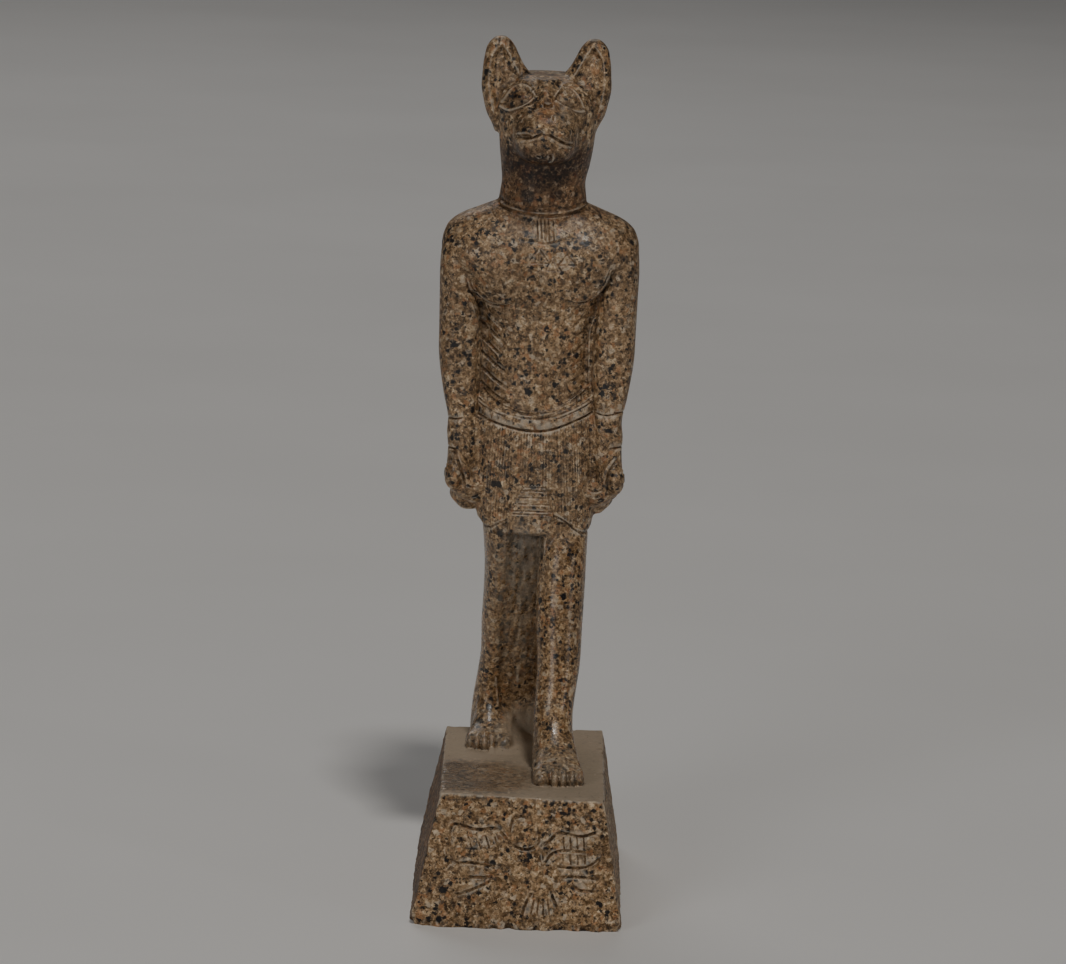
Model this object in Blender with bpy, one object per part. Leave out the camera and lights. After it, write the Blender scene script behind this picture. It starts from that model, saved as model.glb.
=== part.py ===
"""A striding cat-headed figure on a tapered plinth, carved from one block of speckled granite.

Metres, +Z up. The figure faces -Y and its left side is at +X. The origin is the middle of the underside.
Everything is one solid: the rough forms are lofted and joined, then the carving is pushed into the surface.
"""

import math

import bmesh
import bpy
import numpy as np
from mathutils import Euler, Matrix, Vector

# Driving dimensions
FIGURE_HEIGHT = 0.344
PLINTH_HEIGHT = 0.0605
PLINTH_FLARE = 0.0113
PLINTH_LEAN = 0.001
TOE_MARGIN = 0.0195
PILLAR_MARGIN = 0.003
SIDE_MARGIN = 0.0102
TOP_SKEW = 0.003

# The figure keeps its proportions: one part is a 344th of its height, 1 mm on this carving
PART = FIGURE_HEIGHT / 344

# Places on the figure, in parts, from the soles up and from the plinth's middle outwards
TOE_FRONT = -50.5
PILLAR_FRONT = 44.0
PILLAR_BACK = 67.0
PILLAR_HALF = 14.0
OUTER_FOOT = (-27.0, 29.0)
KILT_MIDDLE = 26.5
BELT_TOP = 168.0
BELT_FOOT = 160.0
HEM = 112.0
FIST_LEAN = 1.1
COLLAR_HALF = 21.0
COLLAR_FRONT = 262.8
COLLAR_RISE = 3.4

# How far the rough plinth goes on below its underside, in parts
CUT_DEPTH = 10.0

# How finely the forms are joined and what is left of the faces
GRAIN = 0.0007
SOFTENING_PASSES = 10
TRIANGLES = 9600
PLEATS = 64


# Curves

def smooth_path(points, closed=False, steps=6):
    """Points along the Catmull-Rom curve through the given rows."""
    rows = np.array(points, float)
    if closed:
        padded = np.vstack([rows[-1], rows, rows[0], rows[1]])
    else:
        padded = np.vstack([2 * rows[0] - rows[1], rows, 2 * rows[-1] - rows[-2]])
    curve = []
    for a, b, c, d in zip(padded, padded[1:], padded[2:], padded[3:]):
        for t in np.arange(steps) / steps:
            linear = (c - a) * t
            square = (2 * a - 5 * b + 4 * c - d) * t**2
            cube = (3 * b - a - 3 * c + d) * t**3
            curve.append(0.5 * (2 * b + linear + square + cube))
    if not closed:
        curve.append(rows[-1])
    return np.array(curve)


def fade(value, low, high):
    """0 below low, 1 above high, and smooth between them."""
    share = np.clip((value - low) / (high - low), 0, 1)
    return share * share * (3 - 2 * share)


def rounded(angle, power):
    """Cosine and sine of a superellipse: power 2 is an ellipse, and more is squarer."""
    cosine = math.copysign(abs(math.cos(angle)) ** (2 / power), math.cos(angle))
    sine = math.copysign(abs(math.sin(angle)) ** (2 / power), math.sin(angle))
    return cosine, sine


# Rough forms, in parts

def skin(forms, rings):
    """Closes a row of rings into one shell."""
    rows = [[forms.verts.new(point) for point in ring] for ring in rings]
    count = len(rows[0])
    for low, high in zip(rows, rows[1:]):
        for k in range(count):
            following = (k + 1) % count
            forms.faces.new((low[k], low[following], high[following], high[k]))
    forms.faces.new(rows[0][::-1])
    forms.faces.new(rows[-1])


def upright(forms, stations, count=28):
    """A form that rises: rows of height, x, y, half width, half depth and squareness."""
    rings = []
    for z, x, y, wide, deep, power in smooth_path(stations):
        turns = [rounded(2 * math.pi * k / count, power) for k in range(count)]
        rings.append([(x + wide * c, y + deep * s, z) for c, s in turns])
    skin(forms, rings)


def forward(forms, stations, count=24):
    """A form that runs towards the front: rows of y, x, height, half width, half height and squareness."""
    rings = []
    for y, x, z, wide, tall, power in smooth_path(stations):
        turns = [rounded(2 * math.pi * k / count, power) for k in range(count)]
        rings.append([(x + wide * c, y, z + tall * s) for c, s in turns])
    skin(forms, rings)


def lump(forms, place, radii, lean=(0, 0, 0)):
    """An egg at a place, with its three half sizes and its lean in degrees."""
    turn = Euler([math.radians(angle) for angle in lean]).to_matrix().to_4x4()
    size = Matrix.Diagonal((*radii, 1))
    bmesh.ops.create_uvsphere(
        forms, u_segments=20, v_segments=12, radius=1, matrix=Matrix.Translation(place) @ turn @ size
    )


def add_trunk(forms):
    """The trunk from the hips up, and over it the shoulders in one sweep from arm to arm."""
    upright(forms, [
        (150, 0, 27, 26, 20, 2.2),
        (165, 0, 27.5, 26.5, 20.5, 2.1),
        (178, 0, 28, 25.2, 19.5, 2.05),
        (190, 0, 28, 24.2, 19, 2.05),
        (205, 0, 28, 25, 20, 2.1),
        (216, 0, 28, 28, 21.5, 2.3),
        (224, 0, 27.5, 32, 23.6, 2.4),
        (231, 0, 27.3, 37, 24.6, 2.5),
        (238, 0, 27.2, 44, 24.2, 2.8),
        (243, 0, 27.3, 46.6, 23.2, 2.9),
        (247, 0, 27.5, 46.6, 22, 2.8),
        (251, 0, 27.8, 45.6, 20.2, 2.7),
        (255, 0, 28.2, 43.4, 18.2, 2.6),
        (259, 0, 28.6, 38, 16.4, 2.5),
        (263, 0, 29, 28.5, 14.6, 2.4),
        (266.5, 0, 29, 20, 13, 2.2),
    ])


def add_neck_and_head(forms):
    upright(forms, [
        (254, 0, 29, 20, 17, 2),
        (264, 0, 28.5, 21, 19.5, 2.1),
        (268, 0.2, 28, 20.7, 20, 2.1),
        (276, 0.3, 28, 19.8, 20, 2.2),
        (284, 0.8, 28, 21, 20.4, 2.3),
        (291, 1, 28, 22, 21.8, 2.6),
        (299, 1.1, 28, 22.8, 25, 2.8),
        (308, 0.8, 28, 23.9, 25.6, 2.8),
        (316, 0.5, 28.5, 24.8, 26, 2.8),
        (320.8, 0.3, 29.5, 23.6, 24.4, 2.7),
        (324.4, 0.2, 30, 20.4, 19.6, 2.6),
        (326.6, 0, 30, 14, 13.6, 2.4),
    ])
    add_muzzle(forms)


def add_muzzle(forms):
    """The broad muzzle and chin, and the flat bridge of the nose that runs down into it."""
    forward(forms, [
        (18, 0.6, 302.2, 19.6, 17, 2.5),
        (8, 0.6, 301.6, 16.4, 15.4, 2.6),
        (1, 0.6, 300.6, 14.6, 13.8, 2.7),
        (-4, 0.6, 299.9, 13.2, 12.6, 2.7),
        (-8, 0.6, 299.3, 10.6, 11.1, 2.7),
        (-10.4, 0.6, 299.1, 6.4, 8, 2.5),
    ])
    upright(forms, [
        (326, 0.6, 14, 5, 7, 2.4),
        (319, 0.6, 8.4, 6, 7.4, 2.6),
        (311, 0.7, 3.4, 7, 7.6, 2.8),
        (305, 0.8, -0.8, 7.6, 8, 2.8),
        (300, 0.8, -2, 6, 7, 2.6),
    ])


def add_ears(forms):
    """The ears stand up from the sides of the head, and their outer rims run down into the cheeks."""
    for side in (-1, 1):
        upright(forms, [
            (299, side * 22, 24, 1.6, 4, 2),
            (303, side * 22.8, 24, 2.4, 6, 2),
            (308, side * 23.6, 24.2, 4.2, 7.6, 2),
            (313, side * 23.2, 24.5, 6, 8.6, 2.1),
            (320, side * 20.6, 25.5, 10, 9.5, 2.2),
            (326, side * 19.2, 26, 11.2, 9, 2.2),
            (331, side * 20.6, 26, 9.5, 7.6, 2.2),
            (335, side * 21.4, 26, 8.1, 6.4, 2.2),
            (339, side * 21.9, 26, 6.7, 5.4, 2.2),
            (342, side * 22, 26, 4.6, 4.2, 2.1),
            (344, side * 22, 26, 2, 2.2, 2),
        ])


def add_arms(forms):
    """The arms hang straight, flat in front and square along their inner edge."""
    for side in (-1, 1):
        upright(forms, [
            (254, side * 36, 26, 6, 9, 2.3),
            (247, side * 37, 25, 9, 12.6, 2.5),
            (236, side * 37.4, 24.4, 9.8, 13.4, 2.6),
            (222, side * 37.6, 24, 9.4, 13, 2.7),
            (206, side * 36.8, 23.4, 9.9, 12.2, 2.8),
            (192, side * 36.4, 22, 9.9, 11.4, 2.8),
            (176, 0.1 + side * 35.4, 20, 8.5, 10.2, 2.8),
            (164, 0.3 + side * 34.6, 18.6, 6.8, 9.2, 2.7),
            (156, 0.6 + side * 34.8, 17.8, 7, 8.8, 2.7),
            (149, 0.8 + side * 34.6, 17.2, 6.7, 8.6, 2.6),
            (140, 1.0 + side * 35, 17, 6.8, 8.8, 2.5),
        ])
        add_fist(forms, side)


def add_fist(forms, side):
    """A closed fist: the back of the hand, the thumb in front and the fingers turned in over the kilt."""
    lump(forms, (FIST_LEAN + side * 35.6, 16, 137), (6.4, 10.5, 11.5))
    lump(forms, (FIST_LEAN + side * 38.4, 9.4, 136.4), (4.5, 7.6, 7.4), (8, side * 5, 0))
    lump(forms, (FIST_LEAN + side * 34.6, 9.6, 141), (3.4, 5, 8.4), (0, side * 24, 0))
    lump(forms, (FIST_LEAN + side * 32, 14.6, 130.5), (6, 8.6, 7))
    lump(forms, (FIST_LEAN + side * 28.6, 16, 129.8), (5.9, 9, 8))


def add_arm_webs(forms):
    """The stone left between each arm and the body."""
    for side in (-1, 1):
        upright(forms, [
            (118, side * 30, 28, 4, 9, 2.6),
            (124, side * 30, 28, 9, 12, 2.8),
            (132, side * 29, 25.6, 8.5, 12.1, 2.8),
            (150, side * 29, 24, 8, 11.8, 2.8),
            (164, side * 29.5, 24.4, 8, 11.4, 2.8),
            (171, side * 30, 28, 9, 9.5, 2.8),
            (182, side * 30, 28, 10, 8.2, 2.8),
            (210, side * 30, 28, 10, 8.6, 2.8),
            (240, side * 30, 28, 10, 11, 2.8),
        ])


def around(degrees):
    """How far round from the front a heading is: 0 in front, 1 at the sides and 2 behind."""
    return 1 - math.cos(math.radians(degrees))


def belt_rise(x, turned):
    """The belt dips in front and is a little higher at its left: its height over the front."""
    level = np.where(turned < 1, 12 * turned, 12 + 2 * (turned - 1))
    return level + 1.2 * fade(-x, 2, 26) + 3.8 * fade(x, 2, 26)


def hem_height(x, turned):
    """The hem is lowest near the sides, rises to the apron, and is level behind."""
    left = 0.6 + 5 * fade(x, -22, -10) + 2.6 * fade(-x, 23, 27)
    right = 9 * fade(-x, -27, -10) - 0.5
    share = fade(x, -6, 6)
    return HEM + (left + (right - left) * share) * (1 - fade(turned, 0.9, 1.1))


def add_kilt(forms, count=96, rows=12):
    """The kilt hangs from the belt to the hem, and its outer corners are rounded."""
    rings = []
    for row in range(rows + 1):
        fall = row / rows
        ring = []
        for k in range(count):
            degrees = 360 * k / count
            turned = around(degrees)
            c, s = rounded(math.radians(degrees - 90), 2.8)
            wide = 28.6 - 1.6 * fade(fall, 0.9, 1)
            deep = 21 + 5 * fall
            x = 0.4 + wide * c
            y = KILT_MIDDLE + deep * s - 0.6 * fall
            top = BELT_TOP - 2 + belt_rise(x, turned)
            z = top + (hem_height(x, turned) - top) * fall
            ring.append((x + 1.3 * fall, y, z))
        rings.append(ring[::-1])
    skin(forms, [[tuple(map(float, point)) for point in ring] for ring in rings])


def add_apron(forms):
    """The panel that hangs in front, its foot a ledge over the space between the legs."""
    rings = []
    heights = ((109.6, -11, 2.2, 7.4, 1), (111, -11.2, 1, 7.8, 0), (119.6, -11.4, -0.4, 9.4, -0.7))
    heights += ((124, -9, 0.2, 9, 0), (134, -2.6, 1.5, 6.4, 1.3))
    for z, left, left_front, right, right_front in heights:
        plan = ((left, left_front + 3), (left + 1.6, left_front), (right - 2, right_front))
        plan += ((right, right_front + 1.4), (right, 16), (left, 16))
        rings.append([(x, y, z) for x, y in plan])
    skin(forms, rings)


def add_legs(forms):
    """The rear leg at -X slopes back and the front leg at +X strides forward."""
    upright(forms, [
        (126, -13.2, 23, 11, 18.6, 2.3),
        (118, -13.2, 22.8, 10.2, 19.2, 2.3),
        (112, -13.2, 23, 9.6, 19.2, 2.3),
        (104, -13.6, 24.6, 8.4, 18.4, 2.3),
        (92, -13.8, 28, 7.4, 16.5, 2.3),
        (76, -14.2, 32.5, 7.1, 14.5, 2.2),
        (62, -14.6, 37, 7.2, 13, 2.2),
        (46, -14.9, 42, 6.7, 11.5, 2.2),
        (34, -15.9, 46, 6.9, 10, 2.2),
        (20, -17, 49.5, 7.7, 9.4, 2.2),
        (8, -17.2, 52, 8.4, 9.5, 2.2),
        (0, -17.2, 52, 8.4, 9.5, 2.2),
    ])
    upright(forms, [
        (126, 16.5, 21, 10.8, 13.4, 2.3),
        (118, 16.6, 19.4, 10.9, 14.6, 2.3),
        (112, 16.6, 17.6, 10.9, 14.6, 2.3),
        (106, 16.4, 15, 11.1, 14.8, 2.3),
        (98, 16, 12, 11.3, 14.8, 2.3),
        (82, 15.5, 7.5, 11.5, 13.5, 2.3),
        (66, 15.5, 3, 11, 12.2, 2.2),
        (50, 15.9, -1.5, 10.2, 11.6, 2.2),
        (38, 15.1, -5.4, 9.6, 10.6, 2.2),
        (26, 14.2, -9.6, 9.3, 9.8, 2.2),
        (12, 14.6, -13, 9.6, 10, 2.2),
        (0, 14.8, -14, 9.6, 10, 2.2),
    ])


def add_foot(forms, x, toe_tip, side, half):
    """A bare foot: heel, instep and ball, then the toes. Side is +1 where the great toe is at -X."""
    forward(forms, [
        (toe_tip + 51, x - side * 2, 5, 5.6, 5.6, 2.2),
        (toe_tip + 47, x - side * 2, 7, 8, 8.4, 2.3),
        (toe_tip + 38, x - side * 1.8, 11, 9.2, 13, 2.2),
        (toe_tip + 30, x - side * 1.4, 9.4, 9.8, 11.8, 2.2),
        (toe_tip + 22, x - side * 0.9, 6.4, half - 1.4, 8.8, 2.4),
        (toe_tip + 14, x - side * 0.3, 4.4, half - 0.6, 6.6, 2.6),
        (toe_tip + 8, x, 3.2, half - 0.4, 5, 2.7),
        (toe_tip + 5, x, 2.6, half - 1, 4, 2.7),
    ])
    toes = ((0.19, 4.2, 0), (0.45, 2.4, 0.2), (0.61, 2.3, 0.7), (0.77, 2.2, 1.6), (0.92, 2.3, 3.2))
    for share, wide, back in toes:
        across = (2 * share - 1) * half * side
        lump(forms, (x + across, toe_tip + 7.4 + back, 3), (wide, 7.4, 4.6), (-8, 0, 0))


def add_instep(forms, x, wide, slope):
    """The curve from the shin into the back of the foot: rows of height and front."""
    upright(forms, [(z, x, front + 8, wide, 8, 2.2) for z, front in slope])


def add_leg_web(forms):
    """The stone left between the legs: a slab behind the front leg, and a wall flush with the rear leg."""
    rings = []
    heights = ((-2, -14, 44.5), (20, -8, 42.2), (34, -4, 37.6), (50, 0, 30.4), (62, 1.4, 25), (85, 4, 15.8))
    heights += ((98, 2.4, 10.6), (104, 1.6, 8.4), (112, 0.6, 7.4), (118, 0.4, 7))
    for z, front, wall in heights:
        plan = ((14, front + 3), (6.8, front), (6.2, wall + 4.4), (-3, wall + 1.8), (-12, wall))
        plan += ((-12, 60), (12, 60), (12, 24))
        rings.append([(x, y, z) for x, y in plan][::-1])
    skin(forms, rings)
    add_ramp(forms)


def add_ramp(forms):
    """The low slope from the rear ankle down to the plinth and the front leg."""
    rings = []
    for y, share in ((52, 1), (41, 1), (36, 0.92), (31, 0.74), (26, 0.5), (20, 0.24), (12, 0.02)):
        crest = ((8, 1.6), (2, 4.4), (-2.7, 7.4), (-6.6, 11), (-9.5, 14.5), (-16, 16))
        top = [(x, y, height * share - 0.4) for x, height in crest]
        rings.append([(-16, y, -3), (8, y, -3), *top][::-1])
    skin(forms, rings)


def add_pillar(forms):
    """The back pillar rises from the plinth to the shoulder blades."""
    rings = []
    for z, narrower, sloped in ((-2, 0, 0), (120, 0.6, 0), (246, 1.4, 0), (252, 2.4, 5)):
        half = PILLAR_HALF - narrower
        back = PILLAR_BACK - sloped
        rings.append([(-half, PILLAR_FRONT, z), (half, PILLAR_FRONT, z), (half, back, z), (-half, back, z)])
    skin(forms, rings)


def plinth_corners(sink=0.0):
    """The corners of the plinth's top and foot, in metres from the figure's own axis."""
    left = OUTER_FOOT[0] * PART - SIDE_MARGIN
    right = OUTER_FOOT[1] * PART + SIDE_MARGIN
    front = TOE_FRONT * PART - TOE_MARGIN
    back = PILLAR_BACK * PART + PILLAR_MARGIN
    top = [
        (left, front + TOP_SKEW),
        (right, front - TOP_SKEW),
        (right, back + TOP_SKEW / 2),
        (left, back - TOP_SKEW / 2),
    ]
    share = 1 + sink / PLINTH_HEIGHT
    low = [
        (left - (PLINTH_FLARE + PLINTH_LEAN) * share, front - PLINTH_FLARE * share),
        (right + (PLINTH_FLARE - PLINTH_LEAN) * share, front - PLINTH_FLARE * share),
        (right + (PLINTH_FLARE - PLINTH_LEAN) * share, back + PLINTH_FLARE * share),
        (left - (PLINTH_FLARE + PLINTH_LEAN) * share, back + PLINTH_FLARE * share),
    ]
    return low, top


def add_plinth(forms):
    """The plinth is made too deep below, past the reach of its chips, and is cut flat at the end."""
    sink = CUT_DEPTH * PART
    low, top = plinth_corners(sink)
    rings = [
        [(x / PART, y / PART, -(PLINTH_HEIGHT + sink) / PART) for x, y in low],
        [(x / PART, y / PART, 0) for x, y in top],
    ]
    skin(forms, rings)


# The surface, and the tools that carve it. Places are in parts, from the soles up

class Surface:
    """The stone's skin as arrays, with the push that the carving gives each point along its normal."""

    def __init__(self, mesh):
        count = len(mesh.vertices)
        flat = np.empty(count * 3)
        mesh.vertices.foreach_get("co", flat)
        self.points = flat.reshape(-1, 3).copy()
        mesh.vertices.foreach_get("normal", flat)
        self.normals = flat.reshape(-1, 3).copy()
        self.push = np.zeros(count)

    def settle(self, mesh):
        """Moves the points by their push."""
        self.points += self.normals * self.push[:, None]
        self.push[:] = 0
        mesh.vertices.foreach_set("co", self.points.ravel())
        mesh.update()


def near(surface, path, reach, facing):
    """Which points lie near a path that is drawn in x and z, and face its way."""
    flat = surface.points[:, [0, 2]]
    low = path.min(axis=0) - reach
    high = path.max(axis=0) + reach
    inside = ((flat > low) & (flat < high)).all(axis=1)
    inside &= surface.normals[:, 1] * facing > 0.1
    return np.flatnonzero(inside)


def distances(flat, path):
    """How far each point is from the path, and how far along the path its nearest place is, 0 to 1."""
    starts = path[:-1]
    runs = path[1:] - starts
    lengths = np.hypot(*runs.T)
    before = np.concatenate([[0], np.cumsum(lengths)])
    best = np.full(len(flat), np.inf)
    along = np.zeros(len(flat))
    for start, run, length, passed in zip(starts, runs, lengths, before):
        share = np.clip((flat - start) @ run / max(length**2, 1e-9), 0, 1)
        gap = np.hypot(*(flat - start - share[:, None] * run).T)
        closer = gap < best
        best = np.where(closer, gap, best)
        along = np.where(closer, passed + share * length, along)
    return best, along / before[-1]


def stroke(surface, points, width, depth, facing=-1, ends=0.15):
    """A groove along a curve. A depth below 0 raises a bead."""
    path = smooth_path(points)
    found = near(surface, path, width, facing)
    gap, along = distances(surface.points[found][:, [0, 2]], path)
    profile = np.clip(1 - (gap / width) ** 2, 0, 1) ** 1.5
    if ends:
        profile *= fade(along, -ends * 0.3, ends) * fade(1 - along, -ends * 0.3, ends)
    front = fade(surface.normals[found, 1] * facing, 0.1, 0.4)
    surface.push[found] -= depth * profile * front


def pocket(surface, points, depth, edge, facing=-1):
    """A hollow inside a closed outline, as deep as it says an edge's width in from its border."""
    path = smooth_path(points, closed=True)
    path = np.vstack([path, path[0]])
    found = near(surface, path, edge, facing)
    flat = surface.points[found][:, [0, 2]]
    gap, _ = distances(flat, path)
    inside = np.zeros(len(flat), bool)
    for (x1, z1), (x2, z2) in zip(path, path[1:]):
        crosses = (z1 > flat[:, 1]) != (z2 > flat[:, 1])
        rise = z2 - z1 if abs(z2 - z1) > 1e-9 else 1e-9
        inside ^= crosses & (flat[:, 0] < x1 + (x2 - x1) * (flat[:, 1] - z1) / rise)
    share = fade(np.where(inside, gap, -gap), -edge * 0.25, edge)
    front = fade(surface.normals[found, 1] * facing, 0.1, 0.35)
    surface.push[found] -= depth * share * front


def swell(surface, place, radii, height):
    """A soft rise, or a hollow where the height is below 0, round a place in three dimensions."""
    offset = (surface.points - np.array(place)) / np.array(radii)
    gap = (offset**2).sum(axis=1)
    found = gap < 1
    surface.push[found] += height * (1 - gap[found]) ** 2


def chip(surface, place, radii, inward):
    """Takes a bite out of an edge. All its points move one way, so that the skin never crosses itself."""
    offset = (surface.points - np.array(place)) / np.array(radii)
    gap = (offset**2).sum(axis=1)
    found = gap < 1
    surface.points[found] += (1 - gap[found, None]) ** 2 * np.array(inward)


# Carving of the head

def carve_eyes(surface):
    left = [(-5.2, 318.2), (-7.8, 321.6), (-12, 323), (-16.6, 321), (-20.6, 313.4)]
    left_low = [(-5.2, 318.2), (-8.4, 314.2), (-12.4, 312), (-17, 311), (-21, 312.6)]
    pocket(surface, left + left_low[3:0:-1], 1.1, 1.4)
    swell(surface, (-12, 4, 317.4), (4.6, 8, 4), 1.1)
    stroke(surface, left, 1.1, -0.9, ends=0.05)
    stroke(surface, left_low, 1.1, -0.9, ends=0.05)
    stroke(surface, [(-5.4, 320.8), (-9, 324.4), (-13, 325), (-17, 323.4)], 0.8, -0.5)
    right = [(4.8, 316.6), (7.6, 320.8), (11.4, 322.4), (15.4, 320.8), (17.6, 316.4)]
    right_low = [(4.8, 316.4), (7.4, 314.4), (10.6, 312.8), (15.8, 311.6), (18.4, 312.2)]
    pocket(surface, right + right_low[3:0:-1], 1.0, 1.4)
    swell(surface, (11.2, 4, 317.2), (4.8, 8, 4.2), 1.2)
    stroke(surface, right, 1.0, -0.7, ends=0.05)
    stroke(surface, right_low, 1.1, -1.1, ends=0.05)
    stroke(surface, [(5.2, 320), (9, 324.6), (13.4, 325), (17.6, 322.6)], 0.8, -0.35)


def carve_muzzle(surface):
    stroke(surface, [(-14.2, 298.4), (-10, 298.8), (-5, 300), (-0.6, 302.4)], 1.3, 1.6)
    stroke(surface, [(0.6, 302.4), (5, 300.2), (9.4, 298.2), (13.6, 296.6)], 1.3, 1.6)
    stroke(surface, [(0.4, 303), (0.4, 307)], 0.9, 0.8)
    stroke(surface, [(-4.4, 313), (-5, 308), (-4, 304.4)], 1.2, 0.9)
    stroke(surface, [(6.2, 313), (6.8, 308), (5.8, 304.4)], 1.2, 0.9)
    stroke(surface, [(-2, 290.4), (1.6, 289.6), (4, 291), (3.6, 293.4)], 1.1, 0.7)
    swell(surface, (-0.4, -2, 319.4), (3.8, 12, 4.4), 1.5)
    stroke(surface, [(-1.2, 315.8), (1.4, 315.2), (4, 316)], 1.1, 1.1)
    for side in (-1, 1):
        swell(surface, (0.6 + side * 8, -4, 302.6), (5, 10, 3.6), 1.0)
        stroke(surface, [(side * 17.6, 303), (side * 18.4, 297), (side * 17.6, 291)], 0.9, 0.6)


def carve_ears(surface):
    for side in (-1, 1):
        outline = [
            (side * 21.8, 339.8), (side * 18.6, 336), (side * 15.6, 330), (side * 13.2, 325.6),
            (side * 15, 322.4), (side * 20, 319.6), (side * 22.2, 313), (side * 23.4, 308.4),
            (side * 25.2, 314), (side * 26.4, 321), (side * 26.4, 328), (side * 25.2, 335),
        ]
        pocket(surface, outline, 2.9, 2.2)
    stroke(surface, [(-9, 327.2), (0, 326.8), (9, 327.4)], 1.1, 0.5)


# Carving of the trunk

def carve_collar(surface):
    shares = np.linspace(-1, 1, 7)
    for drop, width, depth in ((0, 1.1, -0.55), (2.1, 0.9, 0.5)):
        rise = COLLAR_FRONT - drop + COLLAR_RISE * shares**2
        stroke(surface, np.column_stack([0.5 + COLLAR_HALF * shares, rise]), width, depth, ends=0.04)
    for x in (-2.4, -0.6, 1.2, 3.0, 5.2):
        stroke(surface, [(x, 260), (x + 0.5, 255), (x + 0.9, 249.8)], 0.55, 0.45)
    stroke(surface, [(-10, 250.2), (-4, 250), (2, 249), (9, 250.6), (16, 253)], 0.7, 0.5)
    for x, z in ((0.4, 240.4), (11, 239.6)):
        stroke(surface, [(x - 5, z), (x + 2, z + 6.6)], 0.7, 0.5)
        stroke(surface, [(x + 2, z + 6.6), (x + 5, z + 1.4)], 0.7, 0.5)
        stroke(surface, [(x - 5, z), (x + 4.4, z + 0.4)], 0.7, 0.5)
    stroke(surface, [(-24.6, 264), (-22, 260), (-18.4, 257.4)], 0.7, 0.35)


def carve_chest(surface):
    for side, lift in ((-1, 0), (1, 2.6)):
        border = [
            (side * 34.5, 231 + lift * 3), (side * 32, 225 + lift * 2), (side * 27.5, 221.4 + lift),
            (side * 22, 218.8 + lift), (side * 16, 218.6 + lift), (side * 9, 221.4 + lift * 0.5),
        ]
        path = smooth_path(border)
        found = near(surface, path, 9, -1)
        flat = surface.points[found][:, [0, 2]]
        gap, along = distances(flat, path)
        border_height = np.interp(flat[:, 0] * side, path[::-1, 0] * side, path[::-1, 1])
        above = np.where(flat[:, 1] > border_height, 1.0, -1.0)
        lip = fade(-gap, -7, 0) * above * fade(1 - along, 0.02, 0.45) * fade(along, 0, 0.2)
        front = fade(-surface.normals[found, 1], 0.1, 0.4)
        surface.push[found] += 1.2 * lip * front
        stroke(surface, border, 1.4, 1.0, ends=0.3)
    swell(surface, (-18, 4, 231), (13, 14, 11), 1.0)
    swell(surface, (18, 4, 233), (13, 14, 11), 1.0)
    swell(surface, (0, 4, 236), (5, 14, 14), -0.5)


def carve_ribs(surface):
    for k in range(6):
        z = 216.5 - 7.1 * k
        inner = 16 - 0.9 * k
        stroke(surface, [(-28, z + 1), (-22, z - 4.5), (-inner, z - 10)], 1.1, 0.75)
        stroke(surface, [(27, z + 2), (22, z - 3), (inner + 1, z - 7.5)], 1.1, 0.4)
    stroke(surface, [(0.4, 216), (0.2, 200), (0.4, 180)], 2.4, 0.35)


def carve_arms(surface):
    """The bracelet lines, and the grooves round the thumb and between the fingers."""
    stroke(surface, [(28.6, 168.2), (34, 167.4), (43.4, 169)], 0.7, 0.6, ends=0.05)
    stroke(surface, [(36, 151.6), (42.6, 152.2)], 0.7, 0.6)
    stroke(surface, [(-43.4, 163.4), (-38, 163), (-33, 164)], 0.7, 0.6)
    stroke(surface, [(-42, 149.2), (-37, 148.6)], 0.7, 0.6)
    for side in (-1, 1):
        thumb = [(36.4, 145), (35, 140.4), (33.4, 135), (32.8, 129.6)]
        stroke(surface, [(FIST_LEAN + side * x, z) for x, z in thumb], 1.1, 1.1)
        for z in (132, 127.6):
            crease = [(32.4, z), (28, z - 1.4), (24, z)]
            stroke(surface, [(FIST_LEAN + side * x, z) for x, z in crease], 0.9, 0.5)


# Carving of the kilt

def headings(surface):
    """The turn of each point round the kilt: its angle from the front, and 0 in front to 2 behind."""
    x = (surface.points[:, 0] - 0.9) / 28.6
    y = -(surface.points[:, 1] - KILT_MIDDLE) / 23
    angle = np.arctan2(x, y)
    return angle, 1 - np.cos(angle)


def between_the_arms(surface):
    """0 where the arms and fists hide the kilt, 1 elsewhere."""
    x, y, _ = surface.points.T
    return 1 - fade(np.abs(x - 0.4), 27, 28) * fade(-y, -40, -36)


def carve_belt(surface):
    _, turned = headings(surface)
    x, _, z = surface.points.T
    z = z - belt_rise(x, turned)
    foot = BELT_FOOT - 2.4 * np.minimum(turned, 1)
    level = fade(1 - np.abs(surface.normals[:, 2]), 0.1, 0.5) * between_the_arms(surface)
    level *= fade(surface.points[:, 2], 140, 150)
    level *= 1 - fade(surface.points[:, 1], PILLAR_FRONT + 4, PILLAR_FRONT + 6)
    band = fade(z, foot - 0.4, foot + 0.4) * (1 - fade(z, BELT_TOP - 0.4, BELT_TOP + 0.8))
    bead = np.clip(1 - ((z - BELT_TOP + 0.8) / 1.1) ** 2, 0, 1)
    line = np.clip(1 - ((z - BELT_TOP + 2.8) / 0.7) ** 2, 0, 1)
    shadow = np.clip(1 - ((z - foot + 0.5) / 0.9) ** 2, 0, 1)
    surface.push += level * (0.7 * band + 0.7 * bead - 0.5 * line - 0.7 * shadow)


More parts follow.
